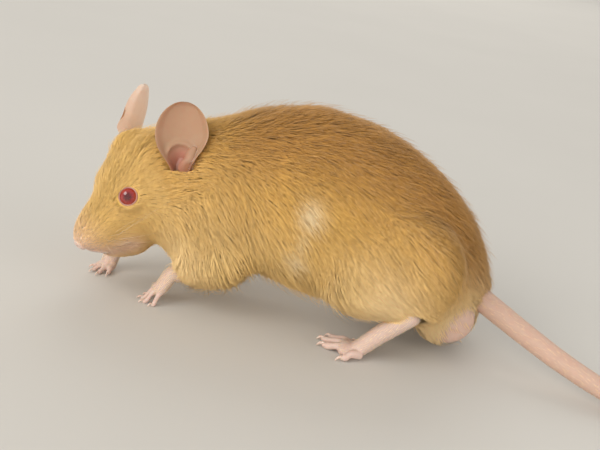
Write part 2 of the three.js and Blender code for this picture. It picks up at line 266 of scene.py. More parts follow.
def skin_over(grid: Array) -> Shell:
    """Closed mesh over a grid of points that runs round a form: quads between rows, a fan at each end.

    Args:
        grid: Points as rows, columns and coordinates. Columns close on themselves.

    Returns:
        The mesh, facing out, each end closed by a corner at the middle of its row.
    """
    rows, columns = grid.shape[:2]
    i, j = np.meshgrid(np.arange(rows - 1), np.arange(columns), indexing="ij")
    k = (j + 1) % columns
    quads = np.stack([i * columns + j, i * columns + k, (i + 1) * columns + k, (i + 1) * columns + j], -1)
    ring = np.arange(columns)
    first, last = rows * columns, rows * columns + 1
    fan = np.stack([ring, np.full(columns, first), (ring + 1) % columns], -1)
    back = (rows - 1) * columns
    far = np.stack([back + ring, back + (ring + 1) % columns, np.full(columns, last)], -1)
    points = np.concatenate([grid.reshape(-1, 3), grid[0].mean(0)[None], grid[-1].mean(0)[None]])
    return Shell(points, [quads.reshape(-1, 4), np.concatenate([fan, far])]).outward()


@dataclass
class Workbench:
    """Turns worked-out shapes into Blender meshes, and back after a modifier has worked on them."""

    shift: Array = field(default_factory=lambda: np.zeros(3))

    def mesh(self, name: str, shell: Shell, placed: bool = True) -> bpy.types.Mesh:
        """A Blender mesh from a shell: in the CAD frame, in metres, or with its corners as they are."""
        mesh = bpy.data.meshes.new(name)
        points = (shell.points + self.shift) * METRES_PER_MM if placed else shell.points
        mesh.vertices.add(len(points))
        mesh.vertices.foreach_set("co", points.astype(np.float32).ravel())
        corners = np.concatenate([f.ravel() for f in shell.faces]).astype(np.int32)
        counts = np.concatenate([np.full(len(f), f.shape[1], np.int32) for f in shell.faces])
        mesh.loops.add(len(corners))
        mesh.loops.foreach_set("vertex_index", corners)
        mesh.polygons.add(len(counts))
        mesh.polygons.foreach_set("loop_start", (np.cumsum(counts) - counts).astype(np.int32))
        mesh.polygons.foreach_set("loop_total", counts)
        mesh.polygons.foreach_set("use_smooth", np.ones(len(counts), bool))
        for mark, values in shell.marks.items():
            mesh.attributes.new(mark, "FLOAT", "POINT").data.foreach_set("value", values.astype(np.float32))
        mesh.update(calc_edges=True)
        return mesh

    def read(self, mesh: bpy.types.Mesh, marks: tuple[str, ...] = ()) -> Shell:
        """A shell from a Blender mesh, cut into triangles, with some of its marks."""
        points = np.empty(len(mesh.vertices) * 3, np.float32)
        mesh.vertices.foreach_get("co", points)
        mesh.calc_loop_triangles()
        triangles = np.empty(len(mesh.loop_triangles) * 3, np.int32)
        mesh.loop_triangles.foreach_get("vertices", triangles)
        found = {}
        for mark in marks:
            values = np.empty(len(mesh.vertices), np.float32)
            mesh.attributes[mark].data.foreach_get("value", values)
            found[mark] = values.astype(float)
        return Shell(points.reshape(-1, 3).astype(float), [triangles.reshape(-1, 3)], found)

    def finished(self, shells: list[Shell], kind: str, settings: dict, marks: tuple[str, ...] = ()) -> Shell:
        """What the first of several shells becomes under a modifier, or under one for each of the others.

        Args:
            shells, marks: The shells, and the marks to keep.
            kind, settings: The modifier's type, and what is set on it.
        """
        objects = [bpy.data.objects.new("passing", self.mesh("passing", s, False)) for s in shells]
        for o in objects:
            link(o)
        others = [{"object": o} for o in objects[1:]]
        for other in others or [{}]:
            modifier = objects[0].modifiers.new("passing", kind)
            for name, value in (settings | other).items():
                setattr(modifier, name, value)
        finished = objects[0].evaluated_get(bpy.context.evaluated_depsgraph_get())
        made = bpy.data.meshes.new_from_object(finished)
        shell = self.read(made, marks)
        bpy.data.batch_remove([made, *(o.data for o in objects), *objects])
        return shell

    def merged(self, shell: Shell, voxel: float, rounds: int) -> Shell:
        """Overlapping closed forms melted into one skin: remeshed on a grid of voxels, then relaxed."""
        return relaxed(self.finished([shell], "REMESH", {"mode": "VOXEL", "voxel_size": voxel}), rounds)

    def united(self, shells: list[Shell], marks: tuple[str, ...]) -> Shell:
        """The exact union of closed forms, which keeps the marks that all of them carry."""
        return self.finished(shells, "BOOLEAN", {"operation": "UNION", "solver": "MANIFOLD"}, marks)

    def piece(self, name: str, shell: Shell, material: Material, slot: str) -> bpy.types.Object:
        """A finished piece of the mouse, in place and riding on its one body."""
        obj = bpy.data.objects.new(name, self.mesh(name, shell))
        obj.data.materials.append(material)
        link(obj)
        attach(obj, "root")
        log.info("%s: %d corners, %d faces", name, len(shell.points), sum(len(f) for f in shell.faces))
        return obj


def link(obj: bpy.types.Object) -> None:
    """Puts an object in the scene."""
    bpy.context.scene.collection.objects.link(obj)


def relaxed(shell: Shell, rounds: int) -> Shell:
    """Evens out a triangle mesh without shrinking it.

    Each round moves every corner toward the mean of its neighbours, then a little further back out.
    """
    triangles, count = shell.faces[0], len(shell.points)
    start, end = np.concatenate([triangles[:, [0, 1]], triangles[:, [1, 2]], triangles[:, [2, 0]]]).T
    degree = np.bincount(start, minlength=count)[:, None].clip(1)
    for _ in range(rounds):
        for step in (0.52, -0.53):
            sums = np.stack([np.bincount(start, column[end], count) for column in shell.points.T], -1)
            shell.points = shell.points + step * (sums / degree - shell.points)
    return shell


def tube(route: Array, half_widths: Array, half_heights: Array, sides: int, steps: int,
         ends: tuple[float, float] = (1.0, 1.0), dome: int = 5) -> Array:
    """Grid of an oval tube along a smooth route, its sections level from side to side, with domed ends.

    The route and the half sizes are Catmull-Rom curves through the values given. A dome's rings shrink as
    the cosine of an angle while they move out as its sine.

    Args:
        route: Points the tube passes through.
        half_widths, half_heights: Half sizes of its section, evenly along the route.
        sides, steps: Corners of a section, and sections along the route.
        ends: How far each end's dome stands out, as a share of its half height.
        dome: Rings of a dome, or 0 for flat ends.
    """
    route = np.asarray(route, float)
    last, nearby = len(route) - 1, 0.02
    t = np.linspace(0, last, steps + 1)
    centre = smooth(route, t)
    ahead = unit(smooth(route, np.minimum(t + nearby, last)) - smooth(route, np.maximum(t - nearby, 0)))
    right = unit(-np.cross([0, 0, 1.0], ahead))
    up = -np.cross(ahead, right)
    width = smooth(half_widths, t / last * (len(half_widths) - 1))
    height = smooth(half_heights, t / last * (len(half_heights) - 1))
    if dome:
        turn = np.linspace(0, 0.96 * math.pi / 2, dome + 1)[1:]
        first = centre[0] - (np.sin(turn[::-1]) * ends[0] * height[0])[:, None] * ahead[0]
        final = centre[-1] + (np.sin(turn) * ends[1] * height[-1])[:, None] * ahead[-1]
        centre = np.concatenate([first, centre, final])
        scale = np.concatenate([np.cos(turn[::-1]), np.ones(steps + 1), np.cos(turn)])
        repeat = lambda rows: rows[np.clip(np.arange(-dome, steps + 1 + dome), 0, steps)]
        right, up, width, height = repeat(right), repeat(up), repeat(width) * scale, repeat(height) * scale
    angle = np.arange(sides) / sides * TURN
    return (centre[:, None] + (width[:, None] * np.cos(angle))[..., None] * right[:, None]
            + (height[:, None] * np.sin(angle))[..., None] * up[:, None])


# ---- the body's form


@dataclass(frozen=True)
class HeadFrame:
    """The head's own axes: where its nose tip is and how it is turned."""

    nose: Point = (-40.0, -13.8, 9.9)
    yaw: float = 50.0
    pitch: float = -42.0
    roll: float = -6.0

    def axes(self) -> tuple[Array, Array, Array]:
        """Forward, right and up."""
        return axes(self.yaw, self.pitch, self.roll)

    def point(self, behind: Array, right: Array, up: Array) -> Array:
        """Points from their distances behind the nose tip, to the right and up."""
        f, r, u = self.axes()
        b, s, h = (np.asarray(a, float)[..., None] for a in (behind, right, up))
        return self.nose - b * f + s * r + h * u

    def direction(self, forward: float, right: float, up: float) -> Array:
        """A direction given in the head's axes."""
        f, r, u = self.axes()
        return unit(forward * f + right * r + up * u)

    def locate(self, points: Array) -> tuple[Array, Array, Array]:
        """How far points are behind the nose tip, to the right and up."""
        f, r, u = self.axes()
        away = points - self.nose
        return -dot(away, f), dot(away, r), dot(away, u)


@dataclass(frozen=True)
class Length:
    """A tapering length of a leg between two joints, with round ends, flattened from side to side."""

    start: Point
    end: Point
    radii: tuple[float, float]
    flat: float

    @property
    def way(self) -> Array:
        """The direction from its start to its end."""
        return unit(np.subtract(self.end, self.start))

    def share(self, points: Array) -> Array:
        """How far along it points are: 0 beside its start, 1 beside its end."""
        way = np.subtract(self.end, self.start)
        return dot(points - self.start, way) / dot(way, way)

    def distance(self, points: Array, depth: float) -> Array:
        """Roughly how far points are outside it, once its face is moved in by a depth.

        In a space stretched from side to side until its sections are round, the nearest place on its
        axis is found, and the radius there is taken off the distance.
        """
        stretch = np.array([1, 1 / self.flat, 1])
        a, b = self.start * stretch, self.end * stretch
        q = points * stretch - a
        share = np.clip(dot(q, b - a) / dot(b - a, b - a), 0, 1)
        radius = self.radii[0] + (self.radii[1] - self.radii[0]) * share - depth
        return lengths(q - share[..., None] * (b - a)) - radius


@dataclass(frozen=True)
class Leg:
    """A leg: thigh or upper arm, which shapes the body's side, and the length below it.

    The hair of the lower length lies along lie, then along the leg, and ends at a share of that length.
    """

    side: Side
    upper: Length
    lower: Length
    hair: tuple[float, float]
    lie: Point
    lower_depth: float = 1.0
    ends: float = 1.0
    depth: float = 1.9

    def above(self, points: Array) -> Array:
        """Roughly how far points are outside the skin of its upper length."""
        return self.upper.distance(points, self.depth)

    def below(self, points: Array) -> Array:
        """Roughly how far points are outside the skin of its lower length."""
        return self.lower.distance(points, self.lower_depth)

    def near(self, points: Array) -> Array:
        """How much the hair at points is its lower length's own: 1 on it, and less up to 2.4 mm away."""
        return 1 - ease(self.below(points), 0.3, 2.4)


LEGS: dict[str, Leg] = {
    "left_foreleg": Leg(
        Side.LEFT, Length((-14.5, -8.2, 19.5), (-12.8, -9.8, 12.4), (8.6, 5.3), 0.72),
        Length((-12.0, -9.8, 11.8), (-18.0, -9.2, 8.8), (4.6, 4.7), 0.8),
        (4.6, 3.0), (0.35, -0.1, -0.9), 1.6, 9.0),
    "right_foreleg": Leg(
        Side.RIGHT, Length((-16.5, 6.4, 19.5), (-20.6, 7.2, 13.2), (8.6, 5.2), 0.72),
        Length((-21.6, 6.6, 12.4), (-36.4, 1.0, 7.4), (4.3, 2.3), 0.9), (3.8, 1.4), (0.2, 0.1, -0.8)),
    "left_hind_leg": Leg(
        Side.LEFT, Length((22.0, -9.4, 18.6), (16.0, -11.6, 15.4), (11.4, 7.2), 0.62),
        Length((15.2, -12.0, 13.9), (25.4, -12.2, 11.0), (5.4, 2.4), 0.8), (4.2, 1.3), (0.8, 0, -0.5)),
    "right_hind_leg": Leg(
        Side.RIGHT, Length((24.4, 9.8, 18.0), (20.6, 12.0, 14.4), (11.0, 7.0), 0.62),
        Length((20.4, 12.3, 12.4), (34.6, 12.6, 7.6), (5.2, 2.4), 0.8), (4.2, 1.3), (0.8, 0, -0.5)),
}


@dataclass(frozen=True)
class Eye:
    """An eyeball's place in the head, which way it looks, its lids, and how far hairs and roots keep off."""

    head: HeadFrame
    side: Side
    behind: float = 12.4
    aside: float = 5.1
    up: float = 3.2
    radius: float = 1.9
    opening: float = 1.52
    lid: float = 0.15
    clearance: tuple[float, float] = (0.16, 0.22)

    @property
    def centre(self) -> Array:
        """The middle of the ball."""
        return self.head.point(self.behind, self.side.value * self.aside, self.up)

    @property
    def outlook(self) -> Array:
        """The direction in which the eye looks."""
        return self.head.direction(0.30, self.side.value * 0.80, 0.50)

    @property
    def level(self) -> float:
        """How far before the ball's middle its opening lies."""
        return math.sqrt(self.radius**2 - self.opening**2)

    def sighted(self, points: Array) -> tuple[Array, Array]:
        """How far points are before the ball's middle, and how far off its line of sight."""
        away = points - self.centre
        along = dot(away, self.outlook)
        return along, lengths(away - along[..., None] * self.outlook)


@dataclass
class Body:
    """Head, neck and trunk as one form, with the shoulders and haunches swelling out of its sides.

    A ring's point lies off the ring's centre along an arm: side x cos^p to the right, narrowed toward the
    back by the pear, and top or bottom x sin^p up, where p is 2 / square. Swellings lengthen the arm, and
    the coat's depth shortens it.
    """

    head: HeadFrame = HeadFrame()
    columns: int = 160
    head_step: float = 0.19
    trunk_step: float = 0.5
    # behind, side, top, bottom, square, pear, coat's depth, hair's length
    head_rings: tuple = (
        (0.0, 1.6, 1.3, 1.7, 2.1, 0.00, 0.10, 0.6),
        (0.7, 2.6, 2.2, 3.4, 2.2, 0.00, 0.20, 0.8),
        (2.2, 3.7, 3.2, 6.3, 2.3, 0.05, 0.35, 1.1),
        (4.6, 4.7, 4.2, 8.6, 2.3, 0.08, 0.55, 1.5),
        (8.2, 5.7, 5.2, 9.5, 2.2, 0.10, 0.75, 2.0),
        (12.2, 6.9, 6.7, 9.8, 2.2, 0.12, 0.95, 2.5),
        (16.6, 8.5, 8.0, 10.3, 2.1, 0.12, 1.25, 3.2),
        (21.1, 9.7, 9.0, 11.4, 2.1, 0.10, 1.60, 4.2),
    )
    # centre, yaw, pitch, roll, side, top, bottom, square, pear, coat's depth, hair's length
    trunk_rings: tuple = (
        (-22.8, -1.3, 24.6, 35, -30, -4, 11.0, 11.6, 13.0, 2.00, 0.10, 1.9, 5.0),
        (-15.6, -0.6, 24.9, 20, -17, -2, 12.4, 13.2, 14.8, 2.00, 0.12, 2.1, 5.4),
        (-8.0, -0.3, 25.2, 8, -7, 0, 13.8, 16.2, 16.2, 2.00, 0.14, 2.1, 5.6),
        (0.8, 0.0, 25.4, 1, 0, 0, 15.2, 18.2, 18.0, 2.05, 0.15, 2.1, 5.6),
        (10.0, 0.2, 24.4, 0, 7, 0, 15.8, 17.5, 17.2, 2.05, 0.15, 2.1, 5.8),
        (19.0, 0.6, 22.0, -2, 20, 0, 14.8, 15.0, 14.4, 2.00, 0.12, 2.2, 6.0),
        (26.4, 1.2, 18.6, -6, 32, 0, 11.8, 11.5, 10.4, 2.00, 0.05, 2.2, 6.2),
        (32.4, 1.9, 15.4, -10, 36, 0, 7.6, 7.2, 6.8, 2.00, 0.00, 1.7, 6.0),
        (36.0, 2.3, 13.6, -12, 34, 0, 4.0, 3.9, 4.0, 2.00, 0.00, 1.0, 5.0),
    )
    # behind, side, up, spread, height: whisker pad, cheek, brow, top of the head, crown between the ears, jaw
    swellings: tuple = ((3.6, 3.4, -1.4, 1.9, 0.75), (15.0, 7.6, -4.0, 4.2, 0.9), (12.4, 4.6, 5.0, 2.2, 0.45),
                        (15.0, 3.2, 7.0, 3.0, 0.8), (20.0, 5.4, 7.8, 2.8, 1.7), (8.5, 1.8, -8.5, 3.6, 0.8))
    muscle_reach: float = 3.0
    dome_rows: int = 7
    nose_dome: float = 0.75
    rump_dome: float = 2.2

    def __post_init__(self) -> None:
        """Lays the rings of head and trunk out in one table, and works out the surface's grid."""
        head = np.asarray(self.head_rings, float)
        turned = np.tile([self.head.yaw, self.head.pitch, self.head.roll], (len(head), 1))
        centres = self.head.point(head[:, 0], 0 * head[:, 0], 0 * head[:, 0])
        self.table = np.concatenate([np.hstack([centres, turned, head[:, 1:]]), self.trunk_rings])
        self.last = len(self.table) - 1
        self.eyes = [Eye(self.head, side) for side in Side]
        self.grid = self.surface()

    def spaced_places(self) -> Array:
        """Places of the rings in the table, a step apart along the body's middle."""
        t = np.linspace(0, self.last, 4000)
        middle = smooth(self.table[:, :3], t)
        gone = run_along(middle)
        neck = np.interp(len(self.head_rings) - 1, t, gone)
        head = np.arange(0, neck, self.head_step)
        trunk = np.linspace(neck, gone[-1], int((gone[-1] - neck) / self.trunk_step))
        return np.interp(np.concatenate([head, trunk]), gone, t)

    def arms(self, t: Array, angle: Array) -> tuple[Array, Array, Array]:
        """Ring centres, and the arms from them to the skin at some angles.

        Args:
            t: Places in the table.
            angle: Angles round the rings, from the right over the top, as a row of the same for each place.

        Returns:
            Centres, arms' directions, and arms' lengths.
        """
        row = smooth(self.table, t)
        _, right, up = axes(*row[:, 3:6].T)
        side, top, bottom, square, pear, depth = row[:, 6:12].T[:, :, None]
        bend = lambda value: np.sign(value) * np.abs(value) ** (2 / square)
        cosine, sine = np.cos(angle), np.sin(angle)
        across = bend(cosine) * side * (1 - pear * sine)
        rise = bend(sine) * np.where(sine > 0, top, bottom)
        arm = across[..., None] * right[:, None] + rise[..., None] * up[:, None]
        centre = row[:, None, :3]
        length = lengths(arm)
        for behind, out, height, spread, swell in self.swellings:
            for side_ in Side:
                away = centre + arm - self.head.point(behind, side_.value * out, height)
                length = length + swell * bell(lengths(away), spread)
        return centre, unit(arm), length - depth

    def surface(self) -> Array:
        """The skin as a grid: rings from the nose to the root of the tail, with a dome at each end."""
        places = self.spaced_places()
        angle = np.tile(np.arange(self.columns) / self.columns * TURN, (len(places), 1))
        centre, way, length = self.arms(places, angle)
        length = self.with_muscles(centre, way, length)
        grid = centre + way * length[..., None]
        forward, _, _ = self.head.axes()
        back = unit(grid[-1].mean(0) - grid[-6].mean(0))
        turn = np.linspace(0, 0.98 * math.pi / 2, self.dome_rows + 1)[1:, None, None]
        dome = lambda ring, out: ring.mean(0) + (ring - ring.mean(0)) * np.cos(turn) + out * np.sin(turn)
        nose, rump = dome(grid[0], self.nose_dome * forward), dome(grid[-1], self.rump_dome * back)
        return self.with_face(np.concatenate([nose[::-1], grid, rump]))

    def with_muscles(self, centre: Array, way: Array, length: Array) -> Array:
        """Arms lengthened to the haunches and shoulders.

        Along each arm, the body's and the legs' distances are blended into one union, and the arm ends at
        the last place where that is nought.
        """
        ends = np.linspace(0.6, 1, 12)
        beyond = np.linspace(0.3, 9.5, 30)
        steps = np.concatenate([ends[:, None, None] * length, beyond[:, None, None] + length])
        points = centre + way * steps[..., None]
        outside = steps - length
        for leg in LEGS.values():
            outside = blend_shapes(outside, leg.above(points), self.muscle_reach)
        inside = outside < 0
        index = np.clip(len(steps) - 1 - np.argmax(inside[::-1], axis=0), 0, len(steps) - 2)[None]
        pick = lambda values, at: np.take_along_axis(values, at, 0)[0]
        near, far = pick(outside, index), pick(outside, index + 1)
        share = np.clip(near / np.where(np.abs(near - far) < 1e-9, -1, near - far), 0, 1)
        made = mixed(pick(steps, index), pick(steps, index + 1), share)
        return np.where(inside.any(0), made, length)

    def with_face(self, grid: Array) -> Array:
        """Nostrils, the cleft under the nose, the mouth and the eyes' hollows, pressed into the head.

        Each is a bell curve across a line or a spot, in the head's own axes.
        """
        behind, right, up = self.head.locate(grid)
        forward, _, _ = self.head.axes()
        _, _, normal = slopes_of(grid)
        front = 1 - ease(behind, 0.6, 1.6)
        press = np.zeros_like(behind)
        for side in Side:
            a, b = right - side.value * 0.72, up + 0.1
            slant = side.value * 0.45
            press += 0.55 * bell(a - slant * b, 0.24) * bell(b + slant * a, 0.15) * front
        raised = 0.14 * bell(np.hypot(right, up + 0.1), 0.9) * front
        grid = grid + (raised - press)[..., None] * forward
        cleft = 0.30 * bell(right, 0.13) * ease(-up, 0.5, 0.9) * (1 - ease(-up, 3.4, 4.0))
        cleft = cleft * (1 - ease(behind, 1.5, 2.6))
        line = self.mouth_line(behind)
        mouth = 0.6 * bell(up - line, 0.26) * ease(behind, -0.6, 0.2) * (1 - ease(behind, 6.4, 8.2))
        chin = 0.55 * ease(line - up, 0.0, 1.1) * ease(behind, -0.5, 0.6) * (1 - ease(behind, 4.5, 8.0))
        grid = grid - (cleft + mouth + chin)[..., None] * normal
        for eye in self.eyes:
            along, off = eye.sighted(grid)
            sunk = (1 - ease(off, eye.opening - 0.1, eye.opening + 0.35)) * (along > -1.5)
            raised = bell(off - eye.opening - 0.45, 0.5) * (along > -1.5) * (1 - sunk)
            moved = (eye.level - 1.2 - along) * sunk + np.clip(eye.level - 0.1 - along, 0, 1) * raised
            grid = grid + moved[..., None] * eye.outlook
        return grid

    def mouth_line(self, behind: Array) -> Array:
        """How high the mouth lies in the head's frame: lower and lower toward its corners."""
        return -3.25 - 0.34 * behind

    def locate(self, points: Array) -> tuple[Array, Array]:
        """Where points are on the body.

        Returns:
            The place in the table of the nearest ring centre, and how high the point is on that ring,
            from -1 at the belly to 1 at the back.
        """
        t = np.linspace(0, self.last, 200)
        row = smooth(self.table, t)
        _, _, ups = axes(*row[:, 3:6].T)
        middles = row[:, :3]
        found = np.empty(len(points), int)
        for k in range(0, len(points), 20000):
            part = points[k:k + 20000]
            found[k:k + 20000] = np.argmin(np.sum(middles**2, 1) - 2 * part @ middles.T, axis=1)
        away = points - middles[found]
        return t[found], dot(unit(away), ups[found])


def slopes_of(grid: Array) -> tuple[Array, Array, Array]:
    """Steps along and around a grid whose columns run round a form, and outward directions across both."""
    along = np.gradient(grid, axis=0)
    around = (np.roll(grid, -1, 1) - np.roll(grid, 1, 1)) / 2
    normal = unit(np.cross(around, along))
    outward = grid - grid.mean(1, keepdims=True)
    return along, around, normal if np.sum(dot(normal, outward)) > 0 else -normal


# ---- feet, ears, tail and the rest of the skin


@dataclass(frozen=True)
class Toe:
    """One toe: its turn from the foot's heading, where it starts, and its length to the claw."""

    turn: float
    start: float
    back: float
    length: float


@dataclass(frozen=True)
class Foot:
    """A foot flat on the floor: a sole from wrist or heel to the ball, fanned toes and their claws."""

    at: Point
    side: Side
    heading: float
    fan: float
    reach: float
    half_widths: tuple[float, ...]
    half_heights: tuple[float, ...]
    toe_radius: float
    claw: float
    toes: tuple[Toe, ...]
    arch: float = 0.0

    def turned(self, degrees: float) -> tuple[Array, Array]:
        """Forward and right in plan, once turned to the mouse's left."""
        forward, right, _ = axes(self.heading + degrees, 0.0, 0.0)
        return forward, right

    def on_floor(self, ahead: float, across: float, height: float) -> Array:
        """A point ahead of the wrist or heel and to its right, at a height over the floor."""
        forward, right = self.turned(0)
        point = self.at + forward * ahead + right * across
        point[2] = height
        return point

    @property
    def low(self) -> float:
        """Height of the sole's middle over the floor."""
        return self.half_heights[2] - 0.12

    def sole(self) -> Array:
        """The sole as a tube that comes down from the wrist or heel and lies along the floor."""
        places = ((0.45, (self.at[2] + self.low) / 2 + self.arch), (0.86, self.low + 0.24 + self.arch),
                  (1.12, self.low + 0.8 * self.arch))
        route = [self.at, *(self.on_floor(self.reach * share, 0, height) for share, height in places)]
        return tube(route, self.half_widths, self.half_heights, 30, 34, (0.8, 0.7))

    def along(self, toe: Toe) -> Callable[[float, float], Array]:
        """Points along a toe, from their distance and their height."""
        way, _ = self.turned(self.fan + self.side.value * toe.turn)
        root = self.on_floor(self.reach - toe.back, -self.side.value * toe.start, 0)
        return lambda distance, height: root + way * distance + np.array([0, 0, height])

    def digits(self) -> list[Array]:
        """The toes as tubes with a knuckle and a pad."""
        made = []
        for toe in self.toes:
            at, r, n = self.along(toe), self.toe_radius, toe.length
            pad = 0.86 * r - 0.12 * self.arch
            route = [at(-0.15 * n, self.low + 0.9 * self.arch), at(0.40 * n, 1.8 * r + 0.55 * self.arch),
                     at(0.78 * n, pad + 0.15 * r + 0.1 * self.arch), at(0.98 * n, pad)]
            radii = r * np.array([0.95, 1.02, 0.80, 0.88, 0.62])
            made.append(tube(route, radii, radii, 18, 22, (0.5, 0.9)))
        return made

    def claws(self) -> list[Array]:
        """The claws as tapering hooks that grow out of the toes' tips and reach the floor."""
        made = []
        for toe in self.toes:
            at, r, n, c = self.along(toe), self.toe_radius, toe.length, self.claw
            route = [at(0.86 * n, 1.05 * r - 0.1 * self.arch), at(n + 0.30 * c, 1.15 * r),
                     at(n + 0.75 * c, 0.72 * r), at(n + c, 0.14)]
            radii = r * np.array([0.34, 0.36, 0.26, 0.07])
            made.append(tube(route, 0.8 * radii, radii, 10, 12, (0.5, 0.5), 3))
        return made


# half widths and heights of the sole, radius of a toe, claw's length, and the toes
FORE = ((1.8, 1.8, 1.95), (1.7, 1.4, 1.1), 0.55, 1.0,
        (Toe(24, 1.25, 0.4, 2.4), Toe(7, 0.45, 0.0, 3.1), Toe(-8, -0.45, 0.0, 3.0),
         Toe(-27, -1.25, 0.6, 2.3)))
HIND = ((1.85, 1.8, 2.6), (2.05, 1.7, 1.35), 0.84, 1.4,
        (Toe(34, 1.9, 2.4, 3.0), Toe(10, 1.35, 0.3, 5.3), Toe(2, 0.1, 0.0, 5.9), Toe(-8, -1.2, 0.4, 5.5),
         Toe(-50, -2.0, 2.0, 3.2)))
FEET: dict[str, Foot] = {
    "left_foreleg": Foot((-20.6, -8.8, 6.4), Side.LEFT, 26, 0, 3.7, *FORE, 2.3),
    "right_foreleg": Foot((-37.0, 0.6, 6.6), Side.RIGHT, 66, 0, 2.9, *FORE),
    "left_hind_leg": Foot((25.4, -12.2, 11.0), Side.LEFT, 0, -20, 10.0, *HIND),
    "right_hind_leg": Foot((34.6, 12.6, 7.6), Side.RIGHT, -4, 4, 13.0, *HIND),
}


@dataclass(frozen=True)
class Ear:
    """A pinna: a thin leaf rolled into a funnel at its base and lying open toward its tip.

    Across the leaf runs an arc whose radius is its length over the angle it is rolled through. That length
    follows a quarter sine up to the widest place and a quarter circle from there to the tip.
    """

    head: HeadFrame
    side: Side
    behind: float = 22.0
    aside: float = 9.9
    up: float = 1.8
    length: float = 13.8
    half_width: float = 5.4
    base_share: float = 0.64
    widest_at: float = 0.54
    roll_at_base: float = 230.0
    roll_at_tip: float = 60.0
    open_at: float = 0.62
    tightest: float = 1.45
    thickness: tuple[float, float] = (0.5, 0.26)
    rows: int = 60
    columns: int = 44
    root: float = 0.08
    sink: float = 2.5
    rise: Point = (-0.69, 0.13, 0.69)
    facing: Point = (0.45, -0.75, 0.48)

    @property
    def frame(self) -> tuple[Array, Array, Array, Array]:
        """Base point, and the directions up the ear, across it and out of its hollow."""
        mirrored = lambda f, r, u: self.head.direction(f, -self.side.value * r, u)
        rise, facing = mirrored(*self.rise), mirrored(*self.facing)
        across = unit(np.cross(rise, facing))
        base = self.head.point(self.behind, self.side.value * self.aside, self.up)
        return base, rise, across, np.cross(across, rise)

    def leaf(self, k: Array, share: Array, depth: Array) -> Array:
        """Points of the leaf.

        Args:
            k: Places across, -1 to 1.
            share: Places up the ear, 0 at its base and 1 at its tip; less than 0 is its root in the head.
            depth: How far in front of the leaf's back face.
        """
        base, rise, across, facing = self.frame
        s = np.clip(share, 0, 1)
        low, roll = self.rolled(s)
        high = np.sqrt(np.clip(1 - ((s - self.widest_at) / (1 - self.widest_at)) ** 2, 0, 1))
        arc = 2 * self.half_width * np.where(s < self.widest_at, low, high)
        radius = np.maximum(arc / roll, self.tightest)
        angle = k / 2 * arc / radius
        curl = 0.55 * ease(np.abs(k), 0.72, 1.0) * ease(s, 0.15, 0.4) + 0.3 * ease(s, 0.93, 1.0)
        lean = 0.5 * np.sin(math.pi * s) * (1 - np.abs(k) ** 2)
        out = radius - (radius - depth) * np.cos(angle) + curl - self.sunk(share) - lean
        amounts = (self.length * share, (radius - depth) * np.sin(angle), out)
        return base + sum(amount[..., None] * way for amount, way in zip(amounts, (rise, across, facing)))

    def rolled(self, s: Array) -> tuple[Array, Array]:
        """The leaf's width below its widest place, as a share, and the angle it is rolled through."""
        quarter = np.clip(s / self.widest_at, 0, 1) * math.pi / 2
        low = self.base_share + (1 - self.base_share) * np.sin(quarter)
        opened = ease(s, 0, self.open_at)
        return low, np.radians(self.roll_at_base + (self.roll_at_tip - self.roll_at_base) * opened)

    def sunk(self, share: Array) -> Array:
        """How far the leaf is set back into the head."""
        return self.sink * (1 - ease(share, -0.15, 0.34))

    def grid(self) -> Array:
        """The leaf's two faces as rings that run across its front and back over its back."""
        turn = np.linspace(0, math.pi / 2, self.rows)
        share = (np.sin(turn) * (0.997 + self.root) - self.root)[:, None]
        across = -np.cos(np.linspace(0, math.pi, self.columns))[None, :]
        thin = self.thickness[0] + (self.thickness[1] - self.thickness[0]) * ease(share, 0, 0.6)
        rim = np.sqrt(np.clip(1 - across**8, 0.02, 1))
        toward = -self.side.value * across
        crest = 0.43 - 0.30 * (toward + 0.05) ** 2
        fold = 0.7 * bell(share - crest, 0.028) * (1 - ease(np.abs(toward + 0.1), 0.45, 0.8))
        shelf = 0.30 * bell(share - 0.24, 0.05) * bell(toward - 0.25, 0.22)
        share, across = np.broadcast_arrays(share, across)
        inner = self.leaf(across, share, (thin + fold + shelf) * rim)
        outer = self.leaf(across[:, ::-1], share, 0 * share)
        return np.concatenate([inner, outer[:, 1:-1]], 1)

    def lobe(self) -> Array:
        """The rolled lobe that stands up behind the ear's opening."""
        line = ((0.66, -0.12, 0.0), (0.70, 0.06, 1.2), (0.64, 0.22, 1.1), (0.54, 0.38, 0.6))
        k, share, depth = np.array(line).T
        route = self.leaf(-self.side.value * k, share, depth)
        return tube(route, (1.0, 1.35, 1.35, 0.7), (0.8, 1.0, 0.95, 0.45), 24, 24, (0.5, 0.9))

    def before(self, points: Array) -> Array:
        """Which points lie in the ear's hollow, or before it within its outline, above its furred base."""
        base, rise, across, facing = self.frame
        away = points - base
        share, off, front = dot(away, rise) / self.length, dot(away, across), dot(away, facing)
        low, roll = self.rolled(np.clip(share, 0, 1))
        radius = np.maximum(2 * self.half_width * low / roll, self.tightest)
        reach = np.where(roll > math.pi, radius, radius * np.sin(np.minimum(roll, math.pi) / 2))
        back = radius - np.sqrt(np.clip(radius**2 - off**2, 0, None)) - self.sunk(share)
        return (share > 0.05) & (share < 1.1) & (np.abs(off) < reach + 0.2) & (front > back - 0.75)


